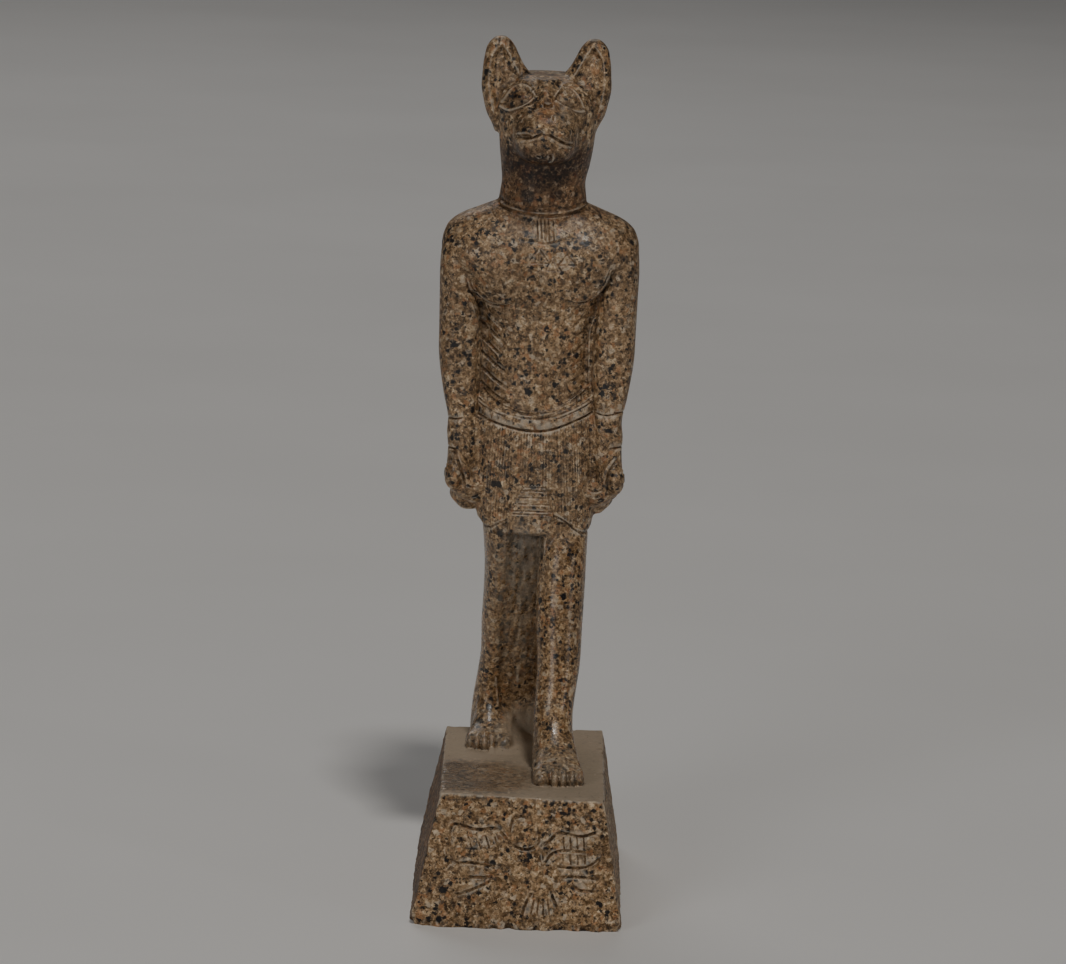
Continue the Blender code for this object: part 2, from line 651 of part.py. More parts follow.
def carve_pleats(surface):
    angle, turned = headings(surface)
    x, y, z = surface.points.T
    foot = BELT_FOOT - 2.4 * np.minimum(turned, 1) + belt_rise(x, turned)
    hem = hem_height(x, turned)
    cloth = fade(z, hem + 0.4, hem + 1.6) * (1 - fade(z, foot - 2.4, foot - 1.2))
    cloth *= fade(1 - np.abs(surface.normals[:, 2]), 0.3, 0.7) * between_the_arms(surface)
    apron_half = 5.2 + 5.6 * fade(-z, -131, -120)
    apron = (1 - fade(np.abs(x), apron_half, apron_half + 0.8)) * (z < 133.6) * (y < KILT_MIDDLE)
    pillar = fade(y, PILLAR_FRONT - 2, PILLAR_FRONT)
    pillar *= 1 - fade(np.abs(x), PILLAR_HALF - 1, PILLAR_HALF + 0.4)
    wave = np.abs(np.sin(angle * PLEATS / 2))
    surface.push -= 0.75 * (1 - wave) ** 1.5 * cloth * (1 - apron) * (1 - pillar)


def carve_apron(surface):
    left = [(-3.6, 133.2), (-6.4, 129.4), (-10.4, 123.4), (-11.6, 118.8), (-11, 111.6)]
    right = [(7, 133.2), (9.2, 124.4), (11, 119), (10.8, 112)]
    stroke(surface, left, 0.8, 0.7, ends=0.05)
    stroke(surface, right, 0.8, 0.7, ends=0.05)
    for z, half in ((133.2, 5.2), (131.2, 6.2), (128, 7.6), (125, 9), (121.8, 10), (120.2, 10.4)):
        middle = 1.6 - 2 * (133.2 - z) / 13
        stroke(surface, [(middle - half, z), (middle + half, z)], 0.8, 0.5, ends=0.04)


# Carving of the plinth

def carve_plinth(surface):
    """A bird with spread wings in low relief on the front, with a round head and a fan tail."""
    head = [(-4.5, -16), (-2.5, -9.8), (2.6, -8.4), (7.8, -11.9), (9.9, -17.1), (8.2, -21.7), (2.4, -23.4)]
    head += [(-2.8, -21.4)]
    body = [(1.6, -23), (5.4, -30), (5.6, -40), (2.6, -54), (10, -55.4), (19, -51), (14, -40.6), (13.4, -33)]
    body += [(10, -22)]
    wing_left = [(-32.6, -19), (-30.9, -14.6), (-26, -14.4), (-16.9, -16.2), (-10.3, -15.6)]
    wing_left += [(-4, -21.6), (2, -29), (-8, -32), (-17.8, -30.6), (-30, -31)]
    wing_right = [(10, -22.6), (14, -19.6), (18.2, -15.8), (29.2, -16.8), (37.2, -15)]
    wing_right += [(39.4, -25), (32, -30.4), (17.3, -30.6), (11, -30)]
    for outline in (head, body, wing_left, wing_right):
        pocket(surface, outline, -0.7, 1.6)
    lines = (
        [(-32.2, -18.7), (-30.9, -14.2), (-27.2, -13.9), (-19.8, -15.6), (-10.3, -15), (-3.5, -21)],
        [(-30.3, -31.5), (-23, -30.6), (-17.8, -31), (-10.5, -32.3)],
        [(-22.8, -36.9), (-17.6, -37.1), (-12.5, -36.5)],
        [(-29.8, -45.9), (-24.7, -44.2), (-17.5, -41.2)],
        [(9.7, -22), (14, -19.2), (18.2, -15.3), (23.3, -15.5), (29.2, -16.4), (37.2, -13.7)],
        [(11.8, -30.6), (13.5, -27.6), (16.4, -24.4), (21.4, -23.1), (31.7, -23.5)],
        [(17.3, -30.4), (24.7, -30.9), (32, -30.2), (36.3, -27.4), (39.1, -25.8)],
        [(19, -35.7), (24.8, -35.1), (32.9, -35.3), (36.6, -35.7)],
        [(25, -38.5), (28.7, -41), (33.1, -41.3), (36.8, -41.8)],
        [(-4.5, -15.8), (-2.5, -9.7), (2.6, -8.4)],
        [(9.9, -17.1), (8.2, -21.7), (2.4, -23.4), (-2.8, -21.4)],
        [(14.7, -40), (16.8, -44.8), (19.5, -50.4)],
        [(6.8, -42.9), (4.1, -49.1), (2.8, -54.5)],
    )
    for line in lines:
        stroke(surface, line, 1.0, 0.75)
    for k in range(4):
        stroke(surface, [(-24 + 4.2 * k, -17.4), (-21.4 + 4.2 * k, -24.4)], 0.8, 0.5)
        stroke(surface, [(20.8 + 3.1 * k, -16.6), (21.4 + 3.1 * k, -22.6)], 0.8, 0.5)
        stroke(surface, [(20.8 + 3.4 * k, -24.6), (21.2 + 3.4 * k, -29.6)], 0.8, 0.4)
        stroke(surface, [(8.4 + 2 * k, -45.6), (6.8 + 3 * k, -53.6)], 0.8, 0.5)


def roughen_plinth(surface):
    """The plinth's faces wander a little, its foot is chipped and its corners are rounded."""
    x, y, z = surface.points.T
    stone = 1 - fade(z, -3, -0.5)
    wander = np.sin(x / 9 + 1.3) * np.sin(z / 11 + y / 17)
    wander += 0.6 * np.sin(y / 7 + z / 6 + 0.7) * np.sin(x / 5)
    surface.push += 0.3 * stone * wander
    foot = -PLINTH_HEIGHT / PART
    low, _ = plinth_corners()
    (left, front), (right, back) = low[0], low[2]
    chips = ((0.0, 10, 4), (0.1, 4, 1.6), (0.25, 5, 0.9), (0.4, 3, 1.2), (0.47, 4, 1.8), (0.6, 3, 0.8))
    chips += ((0.73, 8, 2.8), (0.84, 5, 2.4), (0.93, 5, 2.6), (1.0, 8, 4))
    middle = np.array([left + right, front + back]) / 2 / PART
    for share, size, depth in chips:
        across = (left + (right - left) * share) / PART
        radii = (size, size + 4, min(size, 6))
        for side, bite in ((front, depth), (back, depth * 0.7)):
            inward = middle - (across, side / PART)
            inward *= bite / np.hypot(*inward)
            chip(surface, (across, side / PART, foot), radii, (*inward, 0))


# Making the solid

def rough_form():
    """All the forms as overlapping shells in one mesh, in parts from the soles."""
    forms = bmesh.new()
    add_plinth(forms)
    add_pillar(forms)
    add_leg_web(forms)
    add_legs(forms)
    add_foot(forms, -15.6, 17.0, -1, 11.4)
    add_foot(forms, 17.3, TOE_FRONT, 1, 12.2)
    add_instep(forms, -16.8, 6.2, ((30, 37.6), (26, 38), (21, 37.6), (17.5, 35.8), (15, 33.6), (8, 29)))
    add_instep(forms, 14.6, 7.8, ((35, -16), (30, -18.1), (25, -20.6), (20, -24), (16, -27.6), (8, -34)))
    add_kilt(forms)
    add_apron(forms)
    add_trunk(forms)
    add_arm_webs(forms)
    add_arms(forms)
    add_neck_and_head(forms)
    add_ears(forms)
    bmesh.ops.recalc_face_normals(forms, faces=forms.faces)
    mesh = bpy.data.meshes.new("rough_form")
    forms.to_mesh(mesh)
    forms.free()
    return mesh


def evaluated(mesh, add_modifiers):
    """The mesh as it comes out of its modifiers."""
    holder = bpy.data.objects.new("holder", mesh)
    bpy.context.scene.collection.objects.link(holder)
    add_modifiers(holder)
    graph = bpy.context.evaluated_depsgraph_get()
    made = bpy.data.meshes.new_from_object(holder.evaluated_get(graph))
    bpy.data.objects.remove(holder)
    bpy.data.meshes.remove(mesh)
    return made


def join_forms(holder):
    """Makes one skin of the overlapping shells and softens the creases between them."""
    joined = holder.modifiers.new("joined", "REMESH")
    joined.mode = "VOXEL"
    joined.voxel_size = GRAIN / PART
    softened = holder.modifiers.new("softened", "SMOOTH")
    softened.factor = 0.5
    softened.iterations = SOFTENING_PASSES


def thin_faces(holder):
    """Keeps only as many faces as the carving needs."""
    count = sum(len(face.vertices) - 2 for face in holder.data.polygons)
    fewer = holder.modifiers.new("fewer_faces", "DECIMATE")
    fewer.ratio = min(1, TRIANGLES / count)
    fewer.use_collapse_triangulate = True


def carve(mesh):
    surface = Surface(mesh)
    carve_chest(surface)
    roughen_plinth(surface)
    surface.settle(mesh)
    surface = Surface(mesh)
    carve_eyes(surface)
    carve_muzzle(surface)
    carve_ears(surface)
    carve_collar(surface)
    carve_ribs(surface)
    carve_arms(surface)
    carve_belt(surface)
    carve_pleats(surface)
    carve_apron(surface)
    carve_plinth(surface)
    surface.settle(mesh)


def cut_underside(mesh):
    """Puts the statue on the ground, in metres, with its underside cut flat and centred on the origin."""
    stone = bmesh.new()
    stone.from_mesh(mesh)
    bmesh.ops.scale(stone, vec=(PART, PART, PART), verts=stone.verts)
    bmesh.ops.translate(stone, vec=(0, 0, PLINTH_HEIGHT), verts=stone.verts)
    everything = stone.verts[:] + stone.edges[:] + stone.faces[:]
    cut = bmesh.ops.bisect_plane(
        stone, geom=everything, plane_co=(0, 0, 0), plane_no=(0, 0, -1), clear_outer=True
    )
    border = [item for item in cut["geom_cut"] if isinstance(item, bmesh.types.BMEdge)]
    bmesh.ops.contextual_create(stone, geom=border)
    low = Vector([min(point.co[k] for point in stone.verts) for k in range(3)])
    high = Vector([max(point.co[k] for point in stone.verts) for k in range(3)])
    middle = (low + high) / 2
    bmesh.ops.translate(stone, vec=(-middle.x, -middle.y, 0), verts=stone.verts)
    bmesh.ops.triangulate(stone, faces=stone.faces)
    stone.to_mesh(mesh)
    stone.free()


def granite():
    material = bpy.data.materials.new("granite")
    material.use_nodes = True
    shader = material.node_tree.nodes["Principled BSDF"]
    shader.inputs["Base Color"].default_value = (0.30, 0.215, 0.14, 1)
    shader.inputs["Roughness"].default_value = 0.5
    shader.inputs["Metallic"].default_value = 0
    return material


def make_statue():
    mesh = evaluated(rough_form(), join_forms)
    carve(mesh)
    mesh = evaluated(mesh, thin_faces)
    cut_underside(mesh)
    mesh.name = "bastet_statue"
    mesh.materials.append(granite())
    mesh.shade_smooth()
    mesh.set_sharp_from_angle(angle=math.radians(40))
    statue = bpy.data.objects.new("bastet_statue", mesh)
    bpy.context.scene.collection.objects.link(statue)
    return statue


def main():
    for old in list(bpy.data.objects):
        bpy.data.objects.remove(old)
    make_statue()


main()
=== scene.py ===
"""A striding cat-headed figure on a tapered plinth, carved from one block of speckled granite.

Metres, +Z up. The figure faces -Y and its left side is at +X. Its rough forms are lofted and joined, the
carving is pushed into their skin, and the stone is a procedural material.
"""

import itertools
import math

import bmesh
import bpy
import numpy as np
from mathutils import Euler, Matrix, Vector


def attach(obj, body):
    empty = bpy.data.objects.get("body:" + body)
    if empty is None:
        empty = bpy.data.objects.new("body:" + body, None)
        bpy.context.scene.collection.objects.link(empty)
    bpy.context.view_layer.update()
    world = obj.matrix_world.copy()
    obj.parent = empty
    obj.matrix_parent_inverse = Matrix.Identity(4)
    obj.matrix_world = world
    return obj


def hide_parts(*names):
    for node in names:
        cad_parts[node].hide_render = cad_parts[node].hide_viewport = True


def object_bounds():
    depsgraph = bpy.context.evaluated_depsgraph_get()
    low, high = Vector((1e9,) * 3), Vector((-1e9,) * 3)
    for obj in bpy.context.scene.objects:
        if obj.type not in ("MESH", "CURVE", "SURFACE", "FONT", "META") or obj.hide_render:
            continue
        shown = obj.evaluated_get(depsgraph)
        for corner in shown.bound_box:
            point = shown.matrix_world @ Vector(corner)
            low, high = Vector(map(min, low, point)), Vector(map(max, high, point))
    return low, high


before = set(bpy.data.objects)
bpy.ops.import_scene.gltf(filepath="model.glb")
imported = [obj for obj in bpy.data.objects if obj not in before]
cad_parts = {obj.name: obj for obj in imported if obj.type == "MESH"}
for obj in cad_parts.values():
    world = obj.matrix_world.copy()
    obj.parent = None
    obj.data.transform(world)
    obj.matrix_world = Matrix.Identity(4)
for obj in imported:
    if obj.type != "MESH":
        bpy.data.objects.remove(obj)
cad_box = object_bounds()

# Driving dimensions
FIGURE_HEIGHT = 0.344
PLINTH_HEIGHT = 0.0605
PLINTH_FLARE = 0.0113
PLINTH_LEAN = 0.001
TOE_MARGIN = 0.0195
PILLAR_MARGIN = 0.003
SIDE_MARGIN = 0.0102
TOP_SKEW = 0.003

# The figure keeps its proportions: one part is a 344th of its height, 1 mm on this carving
PART = FIGURE_HEIGHT / 344

# Places on the figure, in parts, from the soles up and from the plinth's middle outwards. Each foot has its
# x, the y of its toes, +1 where the great toe is at -X, and its half width
TOE_FRONT = -50.5
PILLAR_FRONT = 44.0
PILLAR_BACK = 67.0
PILLAR_HALF = 14.0
OUTER_FOOT = (-27.0, 29.0)
FEET = ((-15.6, 17.0, -1, 11.4), (17.3, TOE_FRONT, 1, 12.2))
KILT_MIDDLE = 26.5
BELT_TOP = 168.0
BELT_FOOT = 160.0
HEM = 112.0
FIST_LEAN = 1.1
COLLAR_HALF = 21.0
COLLAR_FRONT = 262.8
COLLAR_RISE = 3.4
CUT_DEPTH = 10.0

# How finely the skin is joined, softened and thinned
GRAIN = 0.0006
SOFTENING_PASSES = 7
TRIANGLES = 222000
PLEATS = 136

# The ways a carved line can face: its two drawn axes, the axis it is pushed along, the sign, and how far
# out that way a point must lie to take it
FRONT = (0, 2, 1, -1, -90)
LEFT = (1, 2, 0, 1, 31)
RIGHT = (1, 2, 0, -1, 31)
UP = (0, 1, 2, 1, -90)

LATTICE_SIZE = 4096
LATTICE = np.random.default_rng(11).uniform(-1, 1, LATTICE_SIZE)


# Curves and noise

def smooth_path(points, closed=False, steps=8):
    """Points along the Catmull-Rom curve through the given rows."""
    rows = np.array(points, float)
    if closed:
        padded = np.vstack([rows[-1], rows, rows[0], rows[1]])
    else:
        padded = np.vstack([2 * rows[0] - rows[1], rows, 2 * rows[-1] - rows[-2]])
    curve = []
    for a, b, c, d in zip(padded, padded[1:], padded[2:], padded[3:]):
        for t in np.arange(steps) / steps:
            linear = (c - a) * t
            square = (2 * a - 5 * b + 4 * c - d) * t**2
            cube = (3 * b - a - 3 * c + d) * t**3
            curve.append(0.5 * (2 * b + linear + square + cube))
    if not closed:
        curve.append(rows[-1])
    return np.array(curve)


def fade(value, low, high):
    """0 below low, 1 above high, and smooth between them."""
    share = np.clip((value - low) / (high - low), 0, 1)
    return share * share * (3 - 2 * share)


def hump(offset, half):
    """1 where the offset is 0, falling to 0 at half a width to either side."""
    return np.clip(1 - (offset / half) ** 2, 0, 1)


def rounded(angle, power):
    """Cosine and sine of a superellipse: power 2 is an ellipse, and more is squarer."""
    pair = (math.cos(angle), math.sin(angle))
    return [math.copysign(abs(value) ** (2 / power), value) for value in pair]


def ripple(points, size, seed=0):
    """Smooth noise between -1 and 1 at each point, whose lumps are about one size across."""
    place = points / size
    cell = np.floor(place).astype(np.int64)
    share = place - cell
    share = share * share * (3 - 2 * share)
    total = np.zeros(len(points))
    for corner in itertools.product((0, 1), repeat=3):
        x, y, z = (cell + corner).T
        key = (x * 73856093) ^ (y * 19349663) ^ (z * 83492791) ^ (seed * 2654435)
        weight = np.prod(np.where(corner, share, 1 - share), axis=1)
        total += weight * LATTICE[key & (LATTICE_SIZE - 1)]
    return total


# Rough forms, in parts

def skin(forms, rings):
    """Closes a row of rings into one shell."""
    rows = [[forms.verts.new(point) for point in ring] for ring in rings]
    count = len(rows[0])
    for low, high in zip(rows, rows[1:]):
        for k in range(count):
            following = (k + 1) % count
            forms.faces.new((low[k], low[following], high[following], high[k]))
    forms.faces.new(rows[0][::-1])
    forms.faces.new(rows[-1])


def outline(count, power):
    """The points of a rounded outline, between -1 and 1."""
    return [rounded(2 * math.pi * k / count, power) for k in range(count)]


def upright(forms, stations, count=64):
    """A form that rises: rows of height, x, y, half width, half depth and squareness."""
    skin(forms, [
        [(x + wide * c, y + deep * s, z) for c, s in outline(count, power)]
        for z, x, y, wide, deep, power in smooth_path(stations)
    ])


def forward(forms, stations, count=56):
    """A form that runs towards the front: rows of y, x, height, half width, half height and squareness."""
    skin(forms, [
        [(x + wide * c, y, z + tall * s) for c, s in outline(count, power)]
        for y, x, z, wide, tall, power in smooth_path(stations)
    ])


def both_sides(forms, stations):
    """An upright form at +X and its mirror image at -X."""
    for side in (-1, 1):
        upright(forms, [(z, side * x, *rest) for z, x, *rest in stations])


def lump(forms, place, radii, lean=(0, 0, 0), rows=24, count=40):
    """An egg at a place, with its three half sizes and its lean in degrees."""
    turn = Euler([math.radians(angle) for angle in lean]).to_matrix().to_4x4()
    fit = Matrix.Translation(place) @ turn @ Matrix.Diagonal((*radii, 1))
    rings = []
    for row in range(1, rows):
        fall = math.pi * row / rows
        level = [(2 * math.pi * k / count, math.sin(fall), -math.cos(fall)) for k in range(count)]
        rings.append([fit @ Vector((r * math.cos(a), r * math.sin(a), z)) for a, r, z in level])
    skin(forms, rings)


def add_trunk(forms):
    """The trunk from the hips up, and over it the shoulders in one sweep from arm to arm."""
    upright(forms, [
        (150, 0, 27, 26, 20, 2.2), (165, 0, 27.5, 26.5, 20.5, 2.1), (178, 0, 28, 25.2, 19.5, 2.05),
        (190, 0, 28, 24.2, 19, 2.05), (205, 0, 28, 25, 20, 2.1), (216, 0, 28, 28, 21.5, 2.3),
        (224, 0, 27.5, 32, 23.6, 2.4), (231, 0, 27.3, 37, 24.6, 2.5), (238, 0, 27.2, 44, 24.2, 2.8),
        (243, 0, 27.3, 46.6, 23.2, 2.9), (247, 0, 27.5, 46.6, 22, 2.8), (251, 0, 27.8, 45.6, 20.2, 2.7),
        (255, 0, 28.2, 43.4, 18.2, 2.6), (259, 0, 28.6, 38, 16.4, 2.5), (263, 0, 29, 28.5, 14.6, 2.4),
        (266.5, 0, 29, 20, 13, 2.2),
    ])


def add_neck_and_head(forms):
    upright(forms, [
        (254, 0, 29, 20, 17, 2), (264, 0, 28.5, 21, 19.5, 2.1), (268, 0.2, 28, 20.7, 20, 2.1),
        (276, 0.3, 28, 19.8, 20, 2.2), (284, 0.8, 28, 21, 20.4, 2.3), (291, 1, 28, 22, 21.8, 2.6),
        (299, 1.1, 28, 22.8, 25, 2.8), (308, 0.8, 28, 23.9, 25.6, 2.8), (316, 0.5, 28.5, 24.8, 26, 2.8),
        (320.8, 0.3, 29.5, 23.6, 24.4, 2.7), (324.4, 0.2, 30, 20.4, 19.6, 2.6), (326.6, 0, 30, 14, 13.6, 2.4),
    ])
    add_muzzle(forms)


def add_muzzle(forms):
    """The broad muzzle and chin, and the flat bridge of the nose that runs down into it."""
    forward(forms, [
        (18, 0.6, 302.2, 19.6, 17, 2.5), (8, 0.6, 301.6, 16.4, 15.4, 2.6), (1, 0.6, 300.6, 14.6, 13.8, 2.7),
        (-4, 0.6, 299.9, 13.2, 12.6, 2.7), (-8, 0.6, 299.3, 10.6, 11.1, 2.7),
        (-10.4, 0.6, 299.1, 6.4, 8, 2.5),
    ])
    upright(forms, [
        (326, 0.6, 14, 5, 7, 2.4), (319, 0.6, 8.4, 6, 7.4, 2.6), (311, 0.7, 3.4, 7, 7.6, 2.8),
        (305, 0.8, -0.8, 7.6, 8, 2.8), (300, 0.8, -2, 6, 7, 2.6),
    ])


def add_ears(forms):
    """The ears stand up from the sides of the head, and their outer rims run down into the cheeks."""
    both_sides(forms, [
        (299, 22, 24, 1.6, 4, 2), (303, 22.8, 24, 2.4, 6, 2), (308, 23.6, 24.2, 4.2, 7.6, 2),
        (313, 23.2, 24.5, 6, 8.6, 2.1), (320, 20.6, 25.5, 10, 9.5, 2.2), (326, 19.2, 26, 11.2, 9, 2.2),
        (331, 20.6, 26, 9.5, 7.6, 2.2), (335, 21.4, 26, 8.1, 6.4, 2.2), (339, 21.9, 26, 6.7, 5.4, 2.2),
        (342, 22, 26, 4.6, 4.2, 2.1), (344, 22, 26, 2, 2.2, 2),
    ])


def add_arms(forms):
    """The arms hang straight, flat in front and square along their inner edge."""
    for side in (-1, 1):
        upright(forms, [
            (254, side * 36, 26, 6, 9, 2.3), (247, side * 37, 25, 9, 12.6, 2.5),
            (236, side * 37.4, 24.4, 9.8, 13.4, 2.6), (222, side * 37.6, 24, 9.4, 13, 2.7),
            (206, side * 36.8, 23.4, 9.9, 12.2, 2.8), (192, side * 36.4, 22, 9.9, 11.4, 2.8),
            (176, 0.1 + side * 35.4, 20, 8.5, 10.2, 2.8), (164, 0.3 + side * 34.6, 18.6, 6.8, 9.2, 2.7),
            (156, 0.6 + side * 34.8, 17.8, 7, 8.8, 2.7), (149, 0.8 + side * 34.6, 17.2, 6.7, 8.6, 2.6),
            (140, 1.0 + side * 35, 17, 6.8, 8.8, 2.5),
        ])
        add_fist(forms, side)


def add_fist(forms, side):
    """A closed fist: the back of the hand, the thumb in front and the fingers turned in over the kilt."""
    lump(forms, (FIST_LEAN + side * 35.6, 16, 137), (6.4, 10.5, 11.5))
    lump(forms, (FIST_LEAN + side * 38.4, 9.4, 136.4), (4.5, 7.6, 7.4), (8, side * 5, 0))
    lump(forms, (FIST_LEAN + side * 34.6, 9.6, 141), (3.4, 5, 8.4), (0, side * 24, 0))
    lump(forms, (FIST_LEAN + side * 32, 14.6, 130.5), (6, 8.6, 7))
    lump(forms, (FIST_LEAN + side * 28.6, 16, 129.8), (5.9, 9, 8))


def add_arm_webs(forms):
    """The stone left between each arm and the body."""
    both_sides(forms, [
        (118, 30, 28, 4, 9, 2.6), (124, 30, 28, 9, 12, 2.8), (132, 29, 25.6, 8.5, 12.1, 2.8),
        (150, 29, 24, 8, 11.8, 2.8), (164, 29.5, 24.4, 8, 11.4, 2.8), (171, 30, 28, 9, 9.5, 2.8),
        (182, 30, 28, 10, 8.2, 2.8), (210, 30, 28, 10, 8.6, 2.8), (240, 30, 28, 10, 11, 2.8),
    ])


def around(degrees):
    """How far round from the front a heading is: 0 in front, 1 at the sides and 2 behind."""
    return 1 - math.cos(math.radians(degrees))


def belt_rise(x, turned):
    """The belt dips in front and is a little higher at its left: its height over the front."""
    level = np.where(turned < 1, 12 * turned, 12 + 2 * (turned - 1))
    return level + 1.2 * fade(-x, 2, 26) + 3.8 * fade(x, 2, 26)


def hem_height(x, turned):
    """The hem is lowest near the sides, rises to the apron, and is level behind."""
    left = 0.6 + 5 * fade(x, -22, -10) + 2.6 * fade(-x, 23, 27)
    right = 9 * fade(-x, -27, -10) - 0.5
    share = fade(x, -6, 6)
    return HEM + (left + (right - left) * share) * (1 - fade(turned, 0.9, 1.1))


def add_kilt(forms, count=160, rows=20):
    """The kilt hangs from the belt to the hem, and its outer corners are rounded."""
    rings = []
    for row in range(rows + 1):
        fall = row / rows
        ring = []
        for k in range(count):
            degrees = 360 * k / count
            turned = around(degrees)
            c, s = rounded(math.radians(degrees - 90), 2.8)
            wide = 28.6 - 1.6 * fade(fall, 0.9, 1)
            deep = 21 + 5 * fall
            x = 0.4 + wide * c
            y = KILT_MIDDLE + deep * s - 0.6 * fall
            top = BELT_TOP - 2 + belt_rise(x, turned)
            z = top + (hem_height(x, turned) - top) * fall
            ring.append((x + 1.3 * fall, y, z))
        rings.append(ring[::-1])
    skin(forms, [[tuple(map(float, point)) for point in ring] for ring in rings])


def add_apron(forms):
    """The panel that hangs in front, its foot a ledge over the space between the legs."""
    rings = []
    heights = ((109.6, -11, 2.2, 7.4, 1), (111, -11.2, 1, 7.8, 0), (119.6, -11.4, -0.4, 9.4, -0.7))
    heights += ((124, -9, 0.2, 9, 0), (134, -2.6, 1.5, 6.4, 1.3))
    for z, left, left_front, right, right_front in heights:
        plan = ((left, left_front + 3), (left + 1.6, left_front), (right - 2, right_front))
        plan += ((right, right_front + 1.4), (right, 16), (left, 16))
        rings.append([(x, y, z) for x, y in plan])
    skin(forms, rings)


def add_legs(forms):
    """The rear leg at -X slopes back and the front leg at +X strides forward."""
    upright(forms, [
        (126, -13.2, 23, 11, 18.6, 2.3), (118, -13.2, 22.8, 10.2, 19.2, 2.3),
        (112, -13.2, 23, 9.6, 19.2, 2.3), (104, -13.6, 24.6, 8.4, 18.4, 2.3), (92, -13.8, 28, 7.4, 16.5, 2.3),
        (76, -14.2, 32.5, 7.1, 14.5, 2.2), (62, -14.6, 37, 7.2, 13, 2.2), (46, -14.9, 42, 6.7, 11.5, 2.2),
        (34, -15.9, 46, 6.9, 10, 2.2), (20, -17, 49.5, 7.7, 9.4, 2.2), (8, -17.2, 52, 8.4, 9.5, 2.2),
        (0, -17.2, 52, 8.4, 9.5, 2.2),
    ])
    upright(forms, [
        (126, 16.5, 21, 10.8, 13.4, 2.3), (118, 16.6, 19.4, 10.9, 14.6, 2.3),
        (112, 16.6, 17.6, 10.9, 14.6, 2.3), (106, 16.4, 15, 11.1, 14.8, 2.3), (98, 16, 12, 11.3, 14.8, 2.3),
        (82, 15.5, 7.5, 11.5, 13.5, 2.3), (66, 15.5, 3, 11, 12.2, 2.2), (50, 15.9, -1.5, 10.2, 11.6, 2.2),
        (38, 15.1, -5.4, 9.6, 10.6, 2.2), (26, 14.2, -9.6, 9.3, 9.8, 2.2), (12, 14.6, -13, 9.6, 10, 2.2),
        (0, 14.8, -14, 9.6, 10, 2.2),
    ])


def add_foot(forms, x, toe_tip, side, half):
    """A bare foot: heel, instep and ball, then the toes."""
    forward(forms, [
        (toe_tip + 51, x - side * 2, 5, 5.6, 5.6, 2.2), (toe_tip + 47, x - side * 2, 7, 8, 8.4, 2.3),
        (toe_tip + 38, x - side * 1.8, 11, 9.2, 13, 2.2), (toe_tip + 30, x - side * 1.4, 9.4, 9.8, 11.8, 2.2),
        (toe_tip + 22, x - side * 0.9, 6.4, half - 1.4, 8.8, 2.4),
        (toe_tip + 14, x - side * 0.3, 4.4, half - 0.6, 6.6, 2.6), (toe_tip + 8, x, 3.2, half - 0.4, 5, 2.7),
        (toe_tip + 5, x, 2.6, half - 1, 4, 2.7),
    ])
    toes = ((0.19, 4.2, 0), (0.45, 2.4, 0.2), (0.61, 2.3, 0.7), (0.77, 2.2, 1.6), (0.92, 2.3, 3.2))
    for share, wide, back in toes:
        across = (2 * share - 1) * half * side
        lump(forms, (x + across, toe_tip + 7.4 + back, 3), (wide, 7.4, 4.6), (-8, 0, 0))


def add_feet(forms):
    """The feet, and the curves from the shins into their backs: rows of height and front."""
    for foot in FEET:
        add_foot(forms, *foot)
    rear = ((30, 37.6), (26, 38), (21, 37.6), (17.5, 35.8), (15, 33.6), (8, 29))
    stepping = ((35, -16), (30, -18.1), (25, -20.6), (20, -24), (16, -27.6), (8, -34))
    for x, wide, slope in ((-16.8, 6.2, rear), (14.6, 7.8, stepping)):
        upright(forms, [(z, x, front + 8, wide, 8, 2.2) for z, front in slope])


def add_leg_web(forms):
    """The stone left between the legs: a slab behind the front leg, and a wall flush with the rear leg."""
    rings = []
    heights = ((-2, -14, 44.5), (20, -8, 42.2), (34, -4, 37.6), (50, 0, 30.4), (62, 1.4, 25), (85, 4, 15.8))
    heights += ((98, 2.4, 10.6), (104, 1.6, 8.4), (112, 0.6, 7.4), (118, 0.4, 7))
    for z, front, wall in heights:
        plan = ((14, front + 3), (6.8, front), (6.2, wall + 4.4), (-3, wall + 1.8), (-12, wall))
        plan += ((-12, 60), (12, 60), (12, 24))
        rings.append([(x, y, z) for x, y in plan][::-1])
    skin(forms, rings)
    add_ramp(forms)


def add_ramp(forms):
    """The low slope from the rear ankle down to the plinth and the front leg."""
    rings = []
    for y, share in ((52, 1), (41, 1), (36, 0.92), (31, 0.74), (26, 0.5), (20, 0.24), (12, 0.02)):
        crest = ((8, 1.6), (2, 4.4), (-2.7, 7.4), (-6.6, 11), (-9.5, 14.5), (-16, 16))
        top = [(x, y, height * share - 0.4) for x, height in crest]
        rings.append([(-16, y, -3), (8, y, -3), *top][::-1])
    skin(forms, rings)


def add_pillar(forms):
    """The back pillar rises from the plinth to the shoulder blades."""
    rings = []
    for z, narrower, sloped in ((-2, 0, 0), (120, 0.6, 0), (246, 1.4, 0), (252, 2.4, 5)):
        half = PILLAR_HALF - narrower
        back = PILLAR_BACK - sloped
        rings.append([(-half, PILLAR_FRONT, z), (half, PILLAR_FRONT, z), (half, back, z), (-half, back, z)])
    skin(forms, rings)


